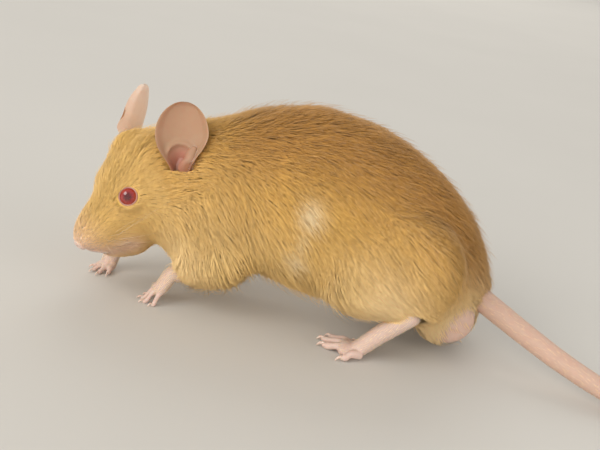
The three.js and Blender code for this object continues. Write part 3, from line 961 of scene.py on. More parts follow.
@dataclass(frozen=True)
class Tail:
    """The tail as a tapering tube laid on the floor."""

    route: tuple = ((33.6, 2.2, 14.0), (39.5, 1.2, 11.6), (47.5, -1.6, 8.5), (56, -4.8, 5.6),
                    (65.5, -8.3, 3.3), (76, -11.8, 1.95), (88, -14.9, 1.45), (100, -16.0, 1.1),
                    (110, -14.8, 0.8), (118, -12.4, 0.5))
    radii: tuple = (2.42, 2.17, 1.82, 1.32, 0.55)
    sides: int = 28
    steps: int = 220

    def grid(self) -> Array:
        """The tail's surface, flattened where it lies on the floor."""
        made = tube(self.route, self.radii, self.radii, self.sides, self.steps, (0.3, 0.8))
        made[..., 2] = np.maximum(made[..., 2], ON_FLOOR)
        return made


@dataclass(frozen=True)
class Scrotum:
    """The two-lobed bag under the tail."""

    centre: Point = (32.0, 0.8, 7.9)
    apart: float = 4.4
    half_sizes: Point = (6.6, 3.5, 6.3)
    lean: float = 14.0
    depth: float = 0.6

    def distance(self, points: Array) -> Array:
        """Roughly how far points are outside its skin.

        In a lobe's own axes, k is the length of the point over the half sizes, and m its length over their
        squares. The distance is k (k - 1) / m.
        """
        found = []
        for side in Side:
            own = self.leant(points - self.middle(side), -self.lean)
            k, m = lengths(own / self.sizes), lengths(own / self.sizes**2)
            found.append(k * (k - 1) / np.maximum(m, 1e-6))
        return np.minimum(*found)

    @property
    def sizes(self) -> Array:
        """Half sizes of a lobe's skin."""
        return np.asarray(self.half_sizes) - self.depth

    def middle(self, side: Side) -> Array:
        """The middle of a lobe."""
        return self.centre + np.array([0, side.value * self.apart / 2, 0])

    def leant(self, points: Array, degrees: float) -> Array:
        """Points turned about the middle of a lobe, their tops toward the rear."""
        c, s = math.cos(math.radians(degrees)), math.sin(math.radians(degrees))
        x, y, z = np.moveaxis(points, -1, 0)
        return np.stack([x * c + z * s, y, z * c - x * s], -1)

    def bareness(self, points: Array) -> Array:
        """0 where it is haired and 1 where it is bare, toward its lower rear."""
        return ease(points[..., 0] + 0.25 * (8 - points[..., 2]), 31.2, 33.8)

    def lobe(self, side: Side, rows: int = 40, columns: int = 48) -> Array:
        """One lobe: a ball stretched to its half sizes, leant and set to its side."""
        down = np.linspace(0.04, math.pi - 0.04, rows)[:, None]
        round_ = (np.arange(columns) / columns * TURN)[None, :]
        wide = np.sin(down)
        ball = np.stack([wide * np.cos(round_), wide * np.sin(round_), np.cos(down) + 0 * round_], -1)
        return self.leant(ball * self.sizes, self.lean) + self.middle(side)


class Zone(Enum):
    """What kind of skin a place has, as a number carried by its corners."""

    FURRED = 0.0
    LEG = 1.0
    EAR = 2.0
    TAIL = 3.0
    BAG = 4.0
    LID = 5.0


@dataclass
class Skin:
    """The whole skin: body, lids, ears, legs with their feet, tail and scrotum, made one closed surface."""

    bench: Workbench
    body: Body
    tail: Tail = Tail()
    scrotum: Scrotum = Scrotum()
    foot_voxel: float = 0.21
    bag_voxel: float = 0.3

    def __post_init__(self) -> None:
        """Works out the surface that the coat grows on."""
        self.ears = [Ear(self.body.head, side) for side in Side]
        self.hide = Hide(self.body, self.scrotum)

    def lids(self, eye: Eye) -> Shell:
        """The rim of the eye's opening: a ring of oval section, a little longer toward the nose and ear."""
        out = eye.outlook
        ahead = eye.head.direction(1, 0, -0.12)
        ahead = unit(ahead - dot(ahead, out) * out)
        above = np.cross(out, ahead)
        turn, round_ = np.meshgrid(*(np.linspace(0, TURN, n, False) for n in (72, 14)), indexing="ij")
        radius = eye.opening + 0.14 + 0.10 * np.cos(turn) ** 4
        spoke = swung(turn, ahead, above)
        points = eye.centre + out * eye.level + spoke * (radius + eye.lid * np.cos(round_))[..., None]
        points = points + out * (0.8 * eye.lid * np.sin(round_) - 0.08)[..., None]
        rows, columns = turn.shape
        i, j = np.meshgrid(np.arange(rows), np.arange(columns), indexing="ij")
        k, m = (i + 1) % rows, (j + 1) % columns
        quads = np.stack([i * columns + j, k * columns + j, k * columns + m, i * columns + m], -1)
        return Shell(points.reshape(-1, 3), [quads.reshape(-1, 4)]).outward()

    def shank(self, name: str) -> Array:
        """The skin of the length between elbow and wrist, or knee and heel."""
        leg = LEGS[name]
        (a, b), flat = leg.lower.radii, leg.lower.flat
        start, end = np.array([leg.lower.start, leg.lower.end])
        thin = 1 - 0.55 * leg.lower_depth / b
        radii = np.array([a - leg.lower_depth, (a + b) / 2 - 0.9 * leg.lower_depth, b * thin])
        return tube([start, start * 0.5 + end * 0.5, end], radii * flat, radii, 40, 40, (0.9, 0.6))

    def leg(self, name: str) -> Shell:
        """A leg's lower length, sole and toes, melted together and cut flat by the floor."""
        forms = [self.shank(name), FEET[name].sole(), *FEET[name].digits()]
        made = self.bench.merged(join([skin_over(f) for f in forms]), self.foot_voxel, 2)
        made.points[:, 2] = np.maximum(made.points[:, 2], ON_FLOOR)
        return made

    def build(self) -> Shell:
        """The united skin, with its zones."""
        parts = [(skin_over(self.hide.drawn_out(self.body.grid)), Zone.FURRED)]
        for eye, ear in zip(self.body.eyes, self.ears):
            parts.append((self.lids(eye), Zone.LID))
            parts += [(skin_over(grid), Zone.EAR) for grid in (ear.grid(), ear.lobe())]
        parts += [(self.leg(name), Zone.LEG) for name in LEGS]
        parts.append((skin_over(self.tail.grid()), Zone.TAIL))
        bag = join([skin_over(self.scrotum.lobe(side)) for side in Side])
        parts.append((self.bench.merged(bag, self.bag_voxel, 6), Zone.BAG))
        for shell, zone in parts:
            shell.marks = {"zone": np.full(len(shell.points), zone.value)}
        return self.bench.united([shell for shell, _ in parts], ("zone",))


# ---- markings


@dataclass
class Markings:
    """Where the coat is browner, paler or thin, worked out from places on the body.

    The back's brown fades down the sides, the lower flank, face and chest are a clear gold, the hair is cream
    under the tail and on the hands and feet, and a few spots of the flank are pale where it parts. A pale
    spot on the left shoulder is painted light, and the cream under the tail is made strong partly as painted
    light against the shade there.
    """

    body: Body
    # place on the left flank, spread along and across, strength
    partings: tuple = (((3.0, -14.5, 26.6), 1.7, 1.9, 0.9), ((1.6, -14.0, 16.9), 1.6, 1.9, 0.65),
                       ((2.4, -14.8, 21.5), 1.0, 2.2, 0.4))
    # middle, spread, strength: haunches, chest, shoulder (a painted pool of light), scrotum
    pale: tuple = (((20.0, -13.0, 13.0), 6.5, 0.6), ((23.0, 13.0, 12.0), 6.0, 0.38),
                   ((-18.5, -9.5, 10.5), 5.5, 0.5), ((-16.0, -13.0, 18.0), 8.0, 0.17),
                   # the scrotum's cream at full strength is its pale hair, partly painted light against the
                   # shade under the tail
                   ((32.0, 0.8, 7.6), 6.4, 1.0))

    def at(self, points: Array) -> dict[str, Array]:
        """Shares of brown, gold, cream and bare pink at some points of the skin or coat."""
        t, rise = self.body.locate(points)
        behind, right, up = self.body.head.locate(points)
        brown = ease(rise, 0.05, 0.95) * ease(t, 7.4, 10.0)
        brown = brown + 0.12 * ease(t, 12.5, 15.0) * ease(rise, -0.6, 0.4)
        brown = brown + 0.15 * ease(rise, 0.3, 1.0) * ease(t, 2.5, 6.0) * (1 - ease(t, 6.2, 9.0))
        low = ease(-rise, -0.25, 0.75) * (1 - 0.6 * ease(t, 12, 15))
        gold = np.maximum(low, 0.85 * (1 - ease(t, 5.5, 8.5)))
        cream = np.zeros(len(points))
        for spot, along, across, strength in self.partings:
            x, _, z = (points - spot).T
            parted = strength * bell(np.hypot(x / along, z / across), 1)
            cream = np.maximum(cream, parted * (points[:, 1] < 0))
        for spot, spread, strength in self.pale:
            cream = np.maximum(cream, strength * bell(lengths(points - spot), spread))
        off = lengths(np.stack([behind * 0.8, right, up + 0.3], -1))
        nose = 0.55 * (1 - ease(off, 0.9, 1.9)) + 0.5 * (1 - ease(off, 1.5, 7.5))
        lips = bell(up - self.body.mouth_line(behind), 1.8)
        lips = lips * (1 - ease(behind, 6.5, 10.5)) * ease(behind, -1, 0.4)
        bare = np.where(t < 6, nose + 0.75 * lips, 0)
        shares = {"brown": brown, "gold": gold, "cream": cream, "bare": bare}
        return {name: np.clip(share, 0, 1) for name, share in shares.items()}


# ---- the coat


@dataclass
class Roots:
    """Where tufts are rooted: places, outward and onward directions, and places on the unwrap, 0 to 1."""

    point: Array
    out: Array
    along: Array
    u: Array
    v: Array

    def chosen(self, which: Array) -> "Roots":
        """Some of the roots, or all in another order."""
        return Roots(*(values[which] for values in vars(self).values()))


def picked(weight: Array, count: int, rng: np.random.Generator) -> Array:
    """Evenly spread choices from a list, each entry as often as its weight asks for."""
    total = np.cumsum(weight)
    aims = (np.arange(count) + rng.random(count)) / count * total[-1]
    return np.minimum(np.searchsorted(total, aims), len(weight) - 1)


@dataclass
class Sheet:
    """A stretch of skin that down grows on: a grid whose columns run round it."""

    grid: Array

    def __post_init__(self) -> None:
        """Works out directions over the grid."""
        self.along, self.around, self.normal = slopes_of(self.grid)
        self.rows, self.columns = self.grid.shape[:2]

    def read(self, what: Array, u: Array, v: Array) -> Array:
        """Values over the grid at shares of its rows and columns, weighted by nearness."""
        row = np.clip(u * (self.rows - 1), 0, self.rows - 1.001)
        return ring_values(what, row, v * self.columns, lambda share: share)

    def sow(self, count: int, rng: np.random.Generator) -> Roots:
        """Roots spread evenly over it."""
        area = lengths(np.cross(self.along, self.around))[:-1]
        cell = picked(area.ravel(), count, rng)
        u = (cell // self.columns + rng.random(count)) / (self.rows - 1)
        v = (cell % self.columns + rng.random(count)) / self.columns
        read = lambda what: self.read(what, u, v)
        return Roots(read(self.grid), unit(read(self.normal)), unit(read(self.along)), u, v)

    def follow(self, roots: Roots, way: Array, reach: Array) -> tuple[Array, Array]:
        """Straight lines from the roots over the sheet, and the outward directions along them."""
        line = roots.point[:, None] + way[:, None] * reach[..., None]
        return line, np.repeat(roots.out[:, None], reach.shape[1], 1)


@dataclass
class Hide:
    """The surface that the coat grows on, as a field: how far each place in the air is outside the skin.

    The distances from the body, the legs, the loose skin of the throat and the scrotum are blended, the
    creases behind the face are filled and all is softened, so that the hair runs smoothly over the joins.
    """

    body: Body
    scrotum: Scrotum
    low: Point = (-50.0, -21.0, -6.0)
    high: Point = (45.0, 21.0, 48.0)
    step: float = 0.4
    band: float = 3.2
    filling: float = 4.4
    margin: float = 1.2
    sunk: float = 0.7
    cube: float = 1.5
    evenings: int = 4
    throat: tuple = (Length((-27.0, -2.5, 20.5), (-17.5, -5.5, 14.5), (8.2, 7.4), 0.9),
                     Length((-26.0, 1.0, 20.5), (-17.5, 3.0, 15.0), (8.2, 7.4), 0.9))
    reaches: dict = field(default_factory=lambda: {"upper": 0.3, "lower": 2.6, "throat": 2.6, "bag": 0.9})
    cling: float = 0.26

    def __post_init__(self) -> None:
        """Works out the field and its slopes over a lattice."""
        sides = [np.arange(a, b, self.step) for a, b in zip(self.low, self.high)]
        place = np.stack(np.meshgrid(*sides, indexing="ij"), -1)
        shell = skin_over(self.body.grid)
        quads, triangles = shell.faces
        corners = (shell.points - self.low) / self.step
        distance = self.measured(corners, triangles, quads, place.shape[:3], self.filling + self.margin)
        for part in self.throat:
            distance = blend_shapes(distance, part.distance(place, 0), self.reaches["throat"])
        for leg in LEGS.values():
            distance = blend_shapes(distance, leg.above(place), self.reaches["upper"])
            distance = blend_shapes(distance, leg.below(place), self.reaches["lower"])
        distance = blend_shapes(distance, self.scrotum.distance(place), self.reaches["bag"])
        behind, _, _ = self.body.head.locate(place)
        fuller = np.minimum(self.filled(distance), distance) - distance
        distance = distance + fuller * ease(behind, 11.0, 17.0)
        distance = softened(distance)
        self.lattice = np.stack([distance, *np.gradient(distance, self.step)], -1).astype(np.float32)

    def measured(self, corners: Array, triangles: Array, quads: Array, shape: tuple[int, ...],
                 reach: float) -> Array:
        """The distance outside a closed surface, over the lattice, no more than a reach either way."""
        made = openvdb.FloatGrid.createLevelSetFromPolygons(
            corners.astype(np.float32), triangles=triangles.astype(np.uint32), quads=quads.astype(np.uint32),
            halfWidth=reach / self.step)
        found = np.empty(shape, np.float32)
        made.copyToArray(found, ijk=(0, 0, 0))
        return found * self.step

    def filled(self, distance: Array) -> Array:
        """The distance outside the same form with its narrow creases filled.

        The surface that lies the filling's depth outside the form is found, and the form is measured back
        from there: where a ball of that radius doesn't reach down into a crease, the ball's own face stays.
        """
        grid = openvdb.FloatGrid(float(self.filling + self.margin))
        grid.copyFromArray(distance.astype(np.float32))
        corners, quads = grid.convertToQuads(self.filling)
        reach = self.filling + self.band
        return self.measured(corners, np.zeros((0, 3)), quads, distance.shape, reach) + self.filling

    def drawn_out(self, grid: Array) -> Array:
        """The body's grid with the folds inside the neck drawn out to a little under the surface."""
        points = grid.reshape(-1, 3)
        t, _ = self.body.locate(points)
        share = ease(t, 4.6, 5.8) * (1 - ease(t, 8.6, 9.6))
        for _ in range(2):
            distance, out = self.read(points)
            points = points - out * (np.minimum(distance + self.sunk, 0) * share)[:, None]
        return points.reshape(grid.shape)

    def read(self, points: Array) -> tuple[Array, Array]:
        """How far outside the skin points are, and the outward directions there."""
        at = (points - self.low) / self.step
        value = lattice_values(self.lattice, np.clip(at, 0, np.array(self.lattice.shape[:3]) - 1.001))
        return value[:, 0], unit(value[:, 1:])

    def evened(self, points: Array, values: Array) -> Array:
        """Values at points, each averaged with its neighbours a few millimetres away.

        They are gathered in cubes, the cubes are softened along each axis, and the cubes are read again.
        """
        shape = tuple(int((b - a) / self.cube) + 3 for a, b in zip(self.low, self.high))
        at = np.clip((points - self.low) / self.cube + 1, 0, np.array(shape) - 1.001)
        cell = np.ravel_multi_index(tuple(np.round(at).astype(int).T), shape)
        gather = lambda x: np.bincount(cell, x, math.prod(shape)).reshape(shape)
        cubes = np.stack([gather(np.ones(len(points))), *(gather(v) for v in values.T)], -1)
        for _ in range(self.evenings):
            cubes = softened(cubes)
        found = lattice_values(cubes, at)
        return found[:, 1:] / np.maximum(found[:, :1], 1e-9)

    def sow(self, count: int, density: Rule, rng: np.random.Generator) -> Roots:
        """Roots in the lattice's cells that the surface runs through, drawn onto it."""
        cells = np.argwhere(np.abs(self.lattice[..., 0]) < self.step / 2)
        place = self.low + cells * self.step
        point = place[picked(density(place), count, rng)] + (rng.random((count, 3)) - 0.5) * self.step
        for _ in range(3):
            distance, out = self.read(point)
            point = point - distance[:, None] * out
        t, _ = self.body.locate(point)
        order = np.argsort(t, kind="stable")
        point, out, t = point[order], out[order], t[order]
        row = smooth(self.body.table, t)
        middle = lambda place: smooth(self.body.table[:, :3], np.clip(place, 0, self.body.last))
        _, right, up = axes(*row[:, 3:6].T)
        away = point - row[:, :3]
        around = np.arctan2(dot(away, up), dot(away, right)) / TURN + 0.5
        return Roots(point, out, unit(middle(t + 0.1) - middle(t - 0.1)), t / self.body.last, around)

    def follow(self, roots: Roots, way: Array, reach: Array) -> tuple[Array, Array]:
        """Lines that walk from the roots over the surface, and the outward directions along them.

        A stride that leaves the surface is drawn back to it by no more than a share of its length, so a tuft
        stands off where the skin turns sharply away.
        """
        line, ups = [roots.point], [roots.out]
        for stride in np.diff(reach, axis=1).T:
            ahead = line[-1] + way * stride[:, None]
            distance, out = self.read(ahead)
            near = (distance < 0.8 * self.band)[:, None]
            out = np.where(near, out, ups[-1])
            line.append(ahead - out * np.minimum(distance, self.cling * stride)[:, None])
            ups.append(out)
            way = unit(way - dot(way, out)[:, None] * out)
        return np.stack(line, 1), np.stack(ups, 1)


@dataclass
class Growth:
    """How hair grows: each size is a number, or one for each root."""

    length: Amount
    width: Amount
    height: Amount
    wander: Amount = 0.14
    clump_size: tuple[int, int] = (16, 60)
    clump_lift: Amount = 0.09
    guard_share: float = 0.09
    stray: Amount = 0.10
    ticked: Amount = 0.0


@dataclass
class Tufts:
    """Tufts as thin three-sided spindles, each bent to rise off the skin and then lie along it.

    A tuft's middle line starts a little under the skin and follows it at growing heights. Corners sit left,
    right and above that line at two stations, and it tapers to a point at both ends.
    """

    points: Array
    normals: Array
    patch: Array
    marks: dict[str, Array]

    STATIONS = np.array([0.0, 0.30, 0.66, 1.0])
    RISE = np.array([-0.12, 0.42, 0.80, 1.0])
    CORNER_STATION = np.array([0, 1, 1, 1, 2, 2, 2, 3])
    CORNER_SIDE = np.array([0, 1, -1, 0, 0.72, -0.72, 0, 0])
    CORNER_TOP = np.array([0, -0.25, -0.25, 0.6, -0.2, -0.2, 0.45, 0])
    TRIANGLES = np.array([(0, 2, 1), (0, 3, 2), (0, 1, 3), (1, 2, 5), (1, 5, 4), (2, 3, 6), (2, 6, 5),
                          (3, 1, 4), (3, 4, 6), (4, 5, 7), (5, 6, 7), (6, 4, 7)])

    @classmethod
    def grow(cls, bed: Sheet | Hide, roots: Roots, way: Array, growth: Growth, seed: int, markings: Markings,
             clear: Rule | None = None) -> "Tufts":
        """Tufts on a bed.

        Args:
            bed, roots: What they grow on, and where.
            way: How the hair lies at each root.
            growth: Their sizes.
            seed: For the random numbers.
            markings: Where the coat has which colour.
            clear: Says which points of the air a tuft may pass through.
        """
        rng = np.random.default_rng(seed)
        count, out = len(roots.out), roots.out
        way = unit(way - dot(way, out)[:, None] * out)
        rows, columns = growth.clump_size
        swing = growth.wander * (0.75 * Ripple(seed + 1, rows, columns).at(roots.u, roots.v)
                                 + 0.5 * Ripple(seed + 2, rows * 3, columns * 2).at(roots.u, roots.v))
        swing = swing + growth.stray * rng.standard_normal(count)
        way = swung(swing, way, np.cross(out, way))
        guard = rng.random(count) < growth.guard_share
        length = growth.length * (0.7 + 0.5 * rng.random(count)) * np.where(guard, 1.2, 1)
        width = growth.width * (0.7 + 0.6 * rng.random(count)) * np.where(guard, 0.5, 1)
        lift = 1 + growth.clump_lift * Ripple(seed + 3, rows * 2, columns).at(roots.u, roots.v)
        layer = np.where(guard, 1.0 + 0.5 * rng.random(count), 0.42 + 0.58 * np.sqrt(rng.random(count)))
        height = growth.height * layer * np.clip(lift, 0.35, 1.25)
        line, up = bed.follow(roots, way, length[:, None] * cls.STATIONS)
        line = line + up * (height[:, None] * cls.RISE)[..., None]
        line[..., 2] = np.maximum(line[..., 2], HAIR_UP)
        side = unit(np.cross(way[:, None], up))
        k = cls.CORNER_STATION
        half = width[:, None, None] / 2
        offset = half * (side[:, k] * cls.CORNER_SIDE[:, None] + up[:, k] * cls.CORNER_TOP[:, None])
        points = line[:, k] + offset
        slope = (height / length)[:, None] * np.array([1.6, 1.2, 0.8, 0.4])[k]
        normals = unit(up[:, k] - 0.2 * slope[..., None] * way[:, None] + 0.08 * offset / half)
        patch = np.stack([roots.u[:, None] + 0.003 * (cls.STATIONS[k] - 0.5),
                          roots.v[:, None] + 0.0015 * (cls.CORNER_SIDE + 0.4 * cls.CORNER_TOP)], -1)
        seen = 0.4 * line[:, 1] + 0.6 * line[:, 2]
        shared = lambda value: np.repeat(value[:, None], 8, 1)
        colour = {name: shared(value) for name, value in markings.at(seen).items()}
        tint = np.clip(0.5 + 0.22 * rng.standard_normal(count) + 0.1 * (lift - 1), 0, 1)
        tick = (rng.random(count) < growth.ticked).astype(float) * rng.random(count)
        colour |= {"along": np.tile(cls.STATIONS[k], (count, 1)), "tint": shared(tint), "tick": shared(tick)}
        made = cls(points, normals, np.clip(patch, 0.002, 0.998), colour)
        return made if clear is None else made.chosen(clear(line.reshape(-1, 3)).reshape(count, 4).all(1))

    def chosen(self, which: slice | Array) -> "Tufts":
        """Some of the tufts."""
        return Tufts(self.points[which], self.normals[which], self.patch[which],
                     {name: mark[which] for name, mark in self.marks.items()})

    @classmethod
    def together(cls, groups: list["Tufts"]) -> "Tufts":
        """Several groups as one, their patches side by side on the unwrap."""
        n, all_of = len(groups), lambda parts: np.concatenate(list(parts))
        patch = all_of((g.patch + [0, i]) * [1, 1 / n] for i, g in enumerate(groups))
        marks = {name: all_of(g.marks[name] for g in groups) for name in groups[0].marks}
        return cls(all_of(g.points for g in groups), all_of(g.normals for g in groups), patch, marks)

    def piece(self, name: str, bench: Workbench, material: Material, slot: str) -> bpy.types.Object:
        """The tufts as one mesh, with the coat's normals and a patch of the unwrap for each tuft."""
        faces = (np.arange(len(self.points))[:, None, None] * 8 + self.TRIANGLES).reshape(-1, 3)
        shell = Shell(self.points.reshape(-1, 3), [faces], {n: m.ravel() for n, m in self.marks.items()})
        obj = bench.piece(name, shell.outward(), material, slot)
        layer = obj.data.uv_layers.new(name="OFBake")
        places = self.patch.reshape(-1, 2)[shell.faces[0].ravel()]
        layer.data.foreach_set("uv", places.astype(np.float32).ravel())
        obj.data.normals_split_custom_set_from_vertices(self.normals.reshape(-1, 3).astype(np.float32))
        return obj


@dataclass
class Coat:
    """The whole coat: short tufts on the face, longer ones over the neck and trunk, short on the legs."""

    bench: Workbench
    skin: Skin
    markings: Markings
    finish: Material
    seed: int = 11
    down_seed: int = 60
    tufts: int = 116_500
    pieces: tuple[str, ...] = ("coat_face", "coat_crown", "coat_neck", "coat_shoulders", "coat_ribs",
                               "coat_loins", "coat_haunches", "coat_rump")
    # for each ring of the body's table: how dense, and how wide
    density: tuple = (30, 34, 34, 32, 29, 26, 22, 18, 15, 14, 13, 13, 13, 13, 13.5, 15, 16)
    width: tuple = (0.07, 0.08, 0.09, 0.10, 0.105, 0.115, 0.13, 0.15, 0.165, 0.175, 0.18, 0.18, 0.18,
                    0.18, 0.18, 0.175, 0.165)
    leg_width: tuple[float, float] = (0.2, 0.12)
    leg_density: tuple[float, float] = (14.0, 26.0)
    bag_hair: tuple[float, float, float, float] = (1.6, 0.09, 0.4, 17.0)

    def sizes(self, point: Array) -> tuple[Array, Array, Array, Array]:
        """Length, width, height and density of the hair at some points of the surface."""
        body = self.skin.body
        t, rise = body.locate(point)
        row = lambda values: np.interp(t, np.arange(len(values)), values)
        length = row(body.table[:, 12]) * (1 - 0.14 * ease(t, 5, 8))
        height = row(body.table[:, 11]) * (0.76 + 0.26 * ease(t, 4, 7)) + 0.12
        made = [length, row(self.width), height, row(self.density)]
        for leg in LEGS.values():
            share = np.clip(leg.lower.share(point), 0, 1)
            near = leg.near(point)
            between = lambda pair: pair[0] + (pair[1] - pair[0]) * share
            height = leg.lower_depth * (1.15 - 0.6 * share)
            own = [between(leg.hair), between(self.leg_width), height, between(self.leg_density)]
            made = [mixed(a, b, near) for a, b in zip(made, own)]
        hanging = ease(-rise, 0.35, 0.7) * ease(t, 7.5, 8.5) * (1 - ease(t, 12.5, 13.5))
        made[0], made[2] = made[0] * (1 + 0.15 * hanging), made[2] * (1 + 0.3 * hanging)
        near = 1 - ease(self.skin.scrotum.distance(point), 0.2, 2.6)
        return tuple(mixed(a, b, near) for a, b in zip(made, self.bag_hair))

    def flow(self, roots: Roots) -> Array:
        """How the hair lies: back from the nose, down the sides and limbs, round the eyes and ears."""
        body, point, out = self.skin.body, roots.point, roots.out
        t, rise = body.locate(point)
        way = roots.along.copy()
        fading = 1 - ease(t, 8, 10)
        way[:, 2] -= (0.5 * ease(t, 2, 4.5) + 1.2 * ease(-rise, -0.2, 0.5) * ease(t, 4, 6)) * fading
        way[:, 2] -= 0.55 * ease(t, 7.5, 10) * (1 - rise**2) + 0.7 * ease(-rise, 0.1, 0.8) * ease(t, 7, 9)
        middle = smooth(body.table[:, :3], t)
        way = way + (0.6 * (1 - ease(t, 0.0, 1.4)))[:, None] * unit(point - middle)
        for leg in LEGS.values():
            upper = 0.7 * (1 - ease(leg.above(point), -1.0, 6.0))
            upper = upper * ease(leg.side.value * out[:, 1], -0.2, 0.8)
            way = way + upper[:, None] * unit(leg.lie)
            onward, near = ease(leg.lower.share(point), 0.45, 1.1)[:, None], leg.near(point)[:, None]
            way = mixed(way, mixed(np.array(leg.lie), leg.lower.way, onward), near)
        near = (1 - ease(self.skin.scrotum.distance(point), 0.2, 0.9))[:, None]
        way = mixed(way, np.array([0.65, 0, -0.75]), near)
        for eye, ear in zip(body.eyes, self.skin.ears):
            away = point - eye.centre
            far = lengths(away)
            way = way + (0.55 * (1 - ease(far, 2.0, 4.2)))[:, None] * unit(away)
            base, rise, _, facing = ear.frame
            away = point - base - 1.95 * facing
            away = away - dot(away, rise)[:, None] * rise
            near = 1 - ease(lengths(away), 2.2, 5.0)
            way = way + (1.0 * near)[:, None] * rise + (0.2 * near)[:, None] * unit(away)
        return self.skin.hide.evened(point, unit(way - dot(way, out)[:, None] * out))

    def clear_air(self, points: Array) -> Array:
        """Which points lie outside the eyes' openings and the ears' hollows."""
        clear = np.ones(len(points), bool)
        for eye, ear in zip(self.skin.body.eyes, self.skin.ears):
            along, off = eye.sighted(points)
            clear &= ((off > eye.opening + eye.clearance[0]) | (along < 0)) & ~ear.before(points)
        return clear

    def haired(self, roots: Roots, rng: np.random.Generator) -> Array:
        """Which roots lie off the eyes, the nose, the feet and the bare side of the scrotum."""
        point = roots.point
        keep = self.markings.at(point)["bare"] < 0.93
        for eye in self.skin.body.eyes:
            along, off = eye.sighted(point)
            keep &= (off > eye.opening + eye.clearance[1]) | (along < -1.5)
        for leg in LEGS.values():
            keep &= (leg.lower.share(point) < leg.ends) | (leg.below(point) > 1.2)
        bag = self.skin.scrotum
        bare = bag.bareness(point) * (bag.distance(point) < 0.5)
        return keep & (rng.random(len(point)) > 0.97 * bare)

    def body(self) -> Tufts:
        """Tufts of the head, neck, trunk, legs and scrotum."""
        rng = np.random.default_rng(self.seed)
        hide = self.skin.hide
        roots = hide.sow(self.tufts, lambda place: self.sizes(place)[3], rng)
        roots = roots.chosen(self.haired(roots, rng))
        length, width, height, _ = self.sizes(roots.point)
        rough = ease(roots.u * self.skin.body.last, 4, 7)
        growth = Growth(length, width, height, wander=0.06 + 0.08 * rough, clump_lift=0.03 + 0.06 * rough,
                        stray=0.06 + 0.03 * rough, ticked=0.02 + 0.07 * rough)
        unwrapped, flow = self.unwrapped(roots), self.flow(roots)
        return Tufts.grow(hide, unwrapped, flow, growth, self.seed + 1, self.markings, self.clear_air)

    def unwrapped(self, roots: Roots) -> Roots:
        """Roots with their places on the unwrap parted: the body, then a band with a field for each limb."""
        u, v = roots.u.copy(), roots.v * 0.8
        for k, leg in enumerate(LEGS.values()):
            on_leg = leg.below(roots.point) < 0.4
            away = roots.point - leg.lower.start
            share = np.clip(leg.lower.share(roots.point), 0, 1)
            drop = share * (leg.lower.end[2] - leg.lower.start[2])
            around = np.arctan2(away[:, 1], away[:, 2] - drop) / TURN + 0.5
            u, v = np.where(on_leg, (k + share) / 5, u), np.where(on_leg, 0.81 + 0.18 * around, v)
        on_bag = self.skin.scrotum.distance(roots.point) < 0.4
        away = roots.point - self.skin.scrotum.centre
        u = np.where(on_bag, 0.9 + 0.09 * np.clip(away[:, 2] / 8, -1, 1), u)
        v = np.where(on_bag, 0.9 + 0.09 * np.arctan2(away[:, 1], away[:, 0]) / math.pi, v)
        return Roots(roots.point, roots.out, roots.along, u, v)

    def down(self) -> Tufts:
        """The sparse short hairs of the feet and tail."""
        on_foot = Growth(0.9, 0.04, 0.14, clump_size=(4, 6))
        on_tail = Growth(1.1, 0.03, 0.12, clump_size=(30, 6), stray=0.15)
        sheets = [(foot.sole(), 700, on_foot, 0.9) for foot in FEET.values()]
        sheets.append((self.skin.tail.grid(), 1500, on_tail, 0.3))
        groups = []
        for seed, (grid, count, growth, lowest) in enumerate(sheets, self.down_seed):
            sheet = Sheet(grid)
            roots = sheet.sow(count, np.random.default_rng(seed))
            roots = roots.chosen(roots.point[:, 2] > lowest)
            groups.append(Tufts.grow(sheet, roots, roots.along, growth, seed + 100, self.markings))
            groups[-1].marks["cream"][:] = 1.0
        return Tufts.together(groups)

    def build(self) -> None:
        """Every coat piece."""
        whole = self.body()
        cuts = np.linspace(0, len(whole.points), len(self.pieces) + 1).astype(int)
        parts = [whole.chosen(slice(a, b)) for a, b in zip(cuts[:-1], cuts[1:])]
        for name, tufts in zip((*self.pieces, "coat_down"), (*parts, self.down())):
            tufts.piece(name, self.bench, self.finish, "coat")


# ---- eyes, claws and whiskers


@dataclass
class Eyes:
    """The eyeballs: spheres with a slight bulge of the cornea over the pupil."""

    bench: Workbench
    body: Body
    finish: Material
    rings: int = 56
    bulge: float = 0.035

    def ball(self, eye: Eye) -> Shell:
        """One eyeball, its rings counted from the middle of the pupil."""
        out = eye.outlook
        across = unit(np.cross(out, [0, 0, 1.0]))
        above = np.cross(across, out)
        off = np.linspace(0.02, math.pi - 0.02, self.rings)[:, None]
        turn = np.linspace(0, TURN, self.rings, False)[None, :]
        radius = eye.radius * (1 + self.bulge * np.exp(-0.5 * (off / 0.42) ** 2))
        spoke = swung(off, out, swung(turn, across, above))
        shell = skin_over(eye.centre + radius[..., None] * spoke)
        away = unit(shell.points - eye.centre)
        shell.marks = {"off_axis": np.arccos(np.clip(dot(away, out), -1, 1))}
        return shell

    def build(self) -> None:
        """Both eyes, in place of the CAD ones."""
        for eye in self.body.eyes:
            name = f"{eye.side.name.lower()}_eye"
            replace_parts(self.bench.piece(f"{name}ball", self.ball(eye), self.finish, "eye"), name)


@dataclass
class Claws:
    """The claws of all four feet."""

    bench: Workbench
    finish: Material

    def build(self) -> None:
        """One piece of small hooks, each held by the toe it grows out of."""
        shells = [skin_over(grid) for foot in FEET.values() for grid in foot.claws()]
        for shell in shells:
            shell.points[:, 2] = np.maximum(shell.points[:, 2], CLAWS_UP)
        self.bench.piece("claws", join(shells), self.finish, "skin")


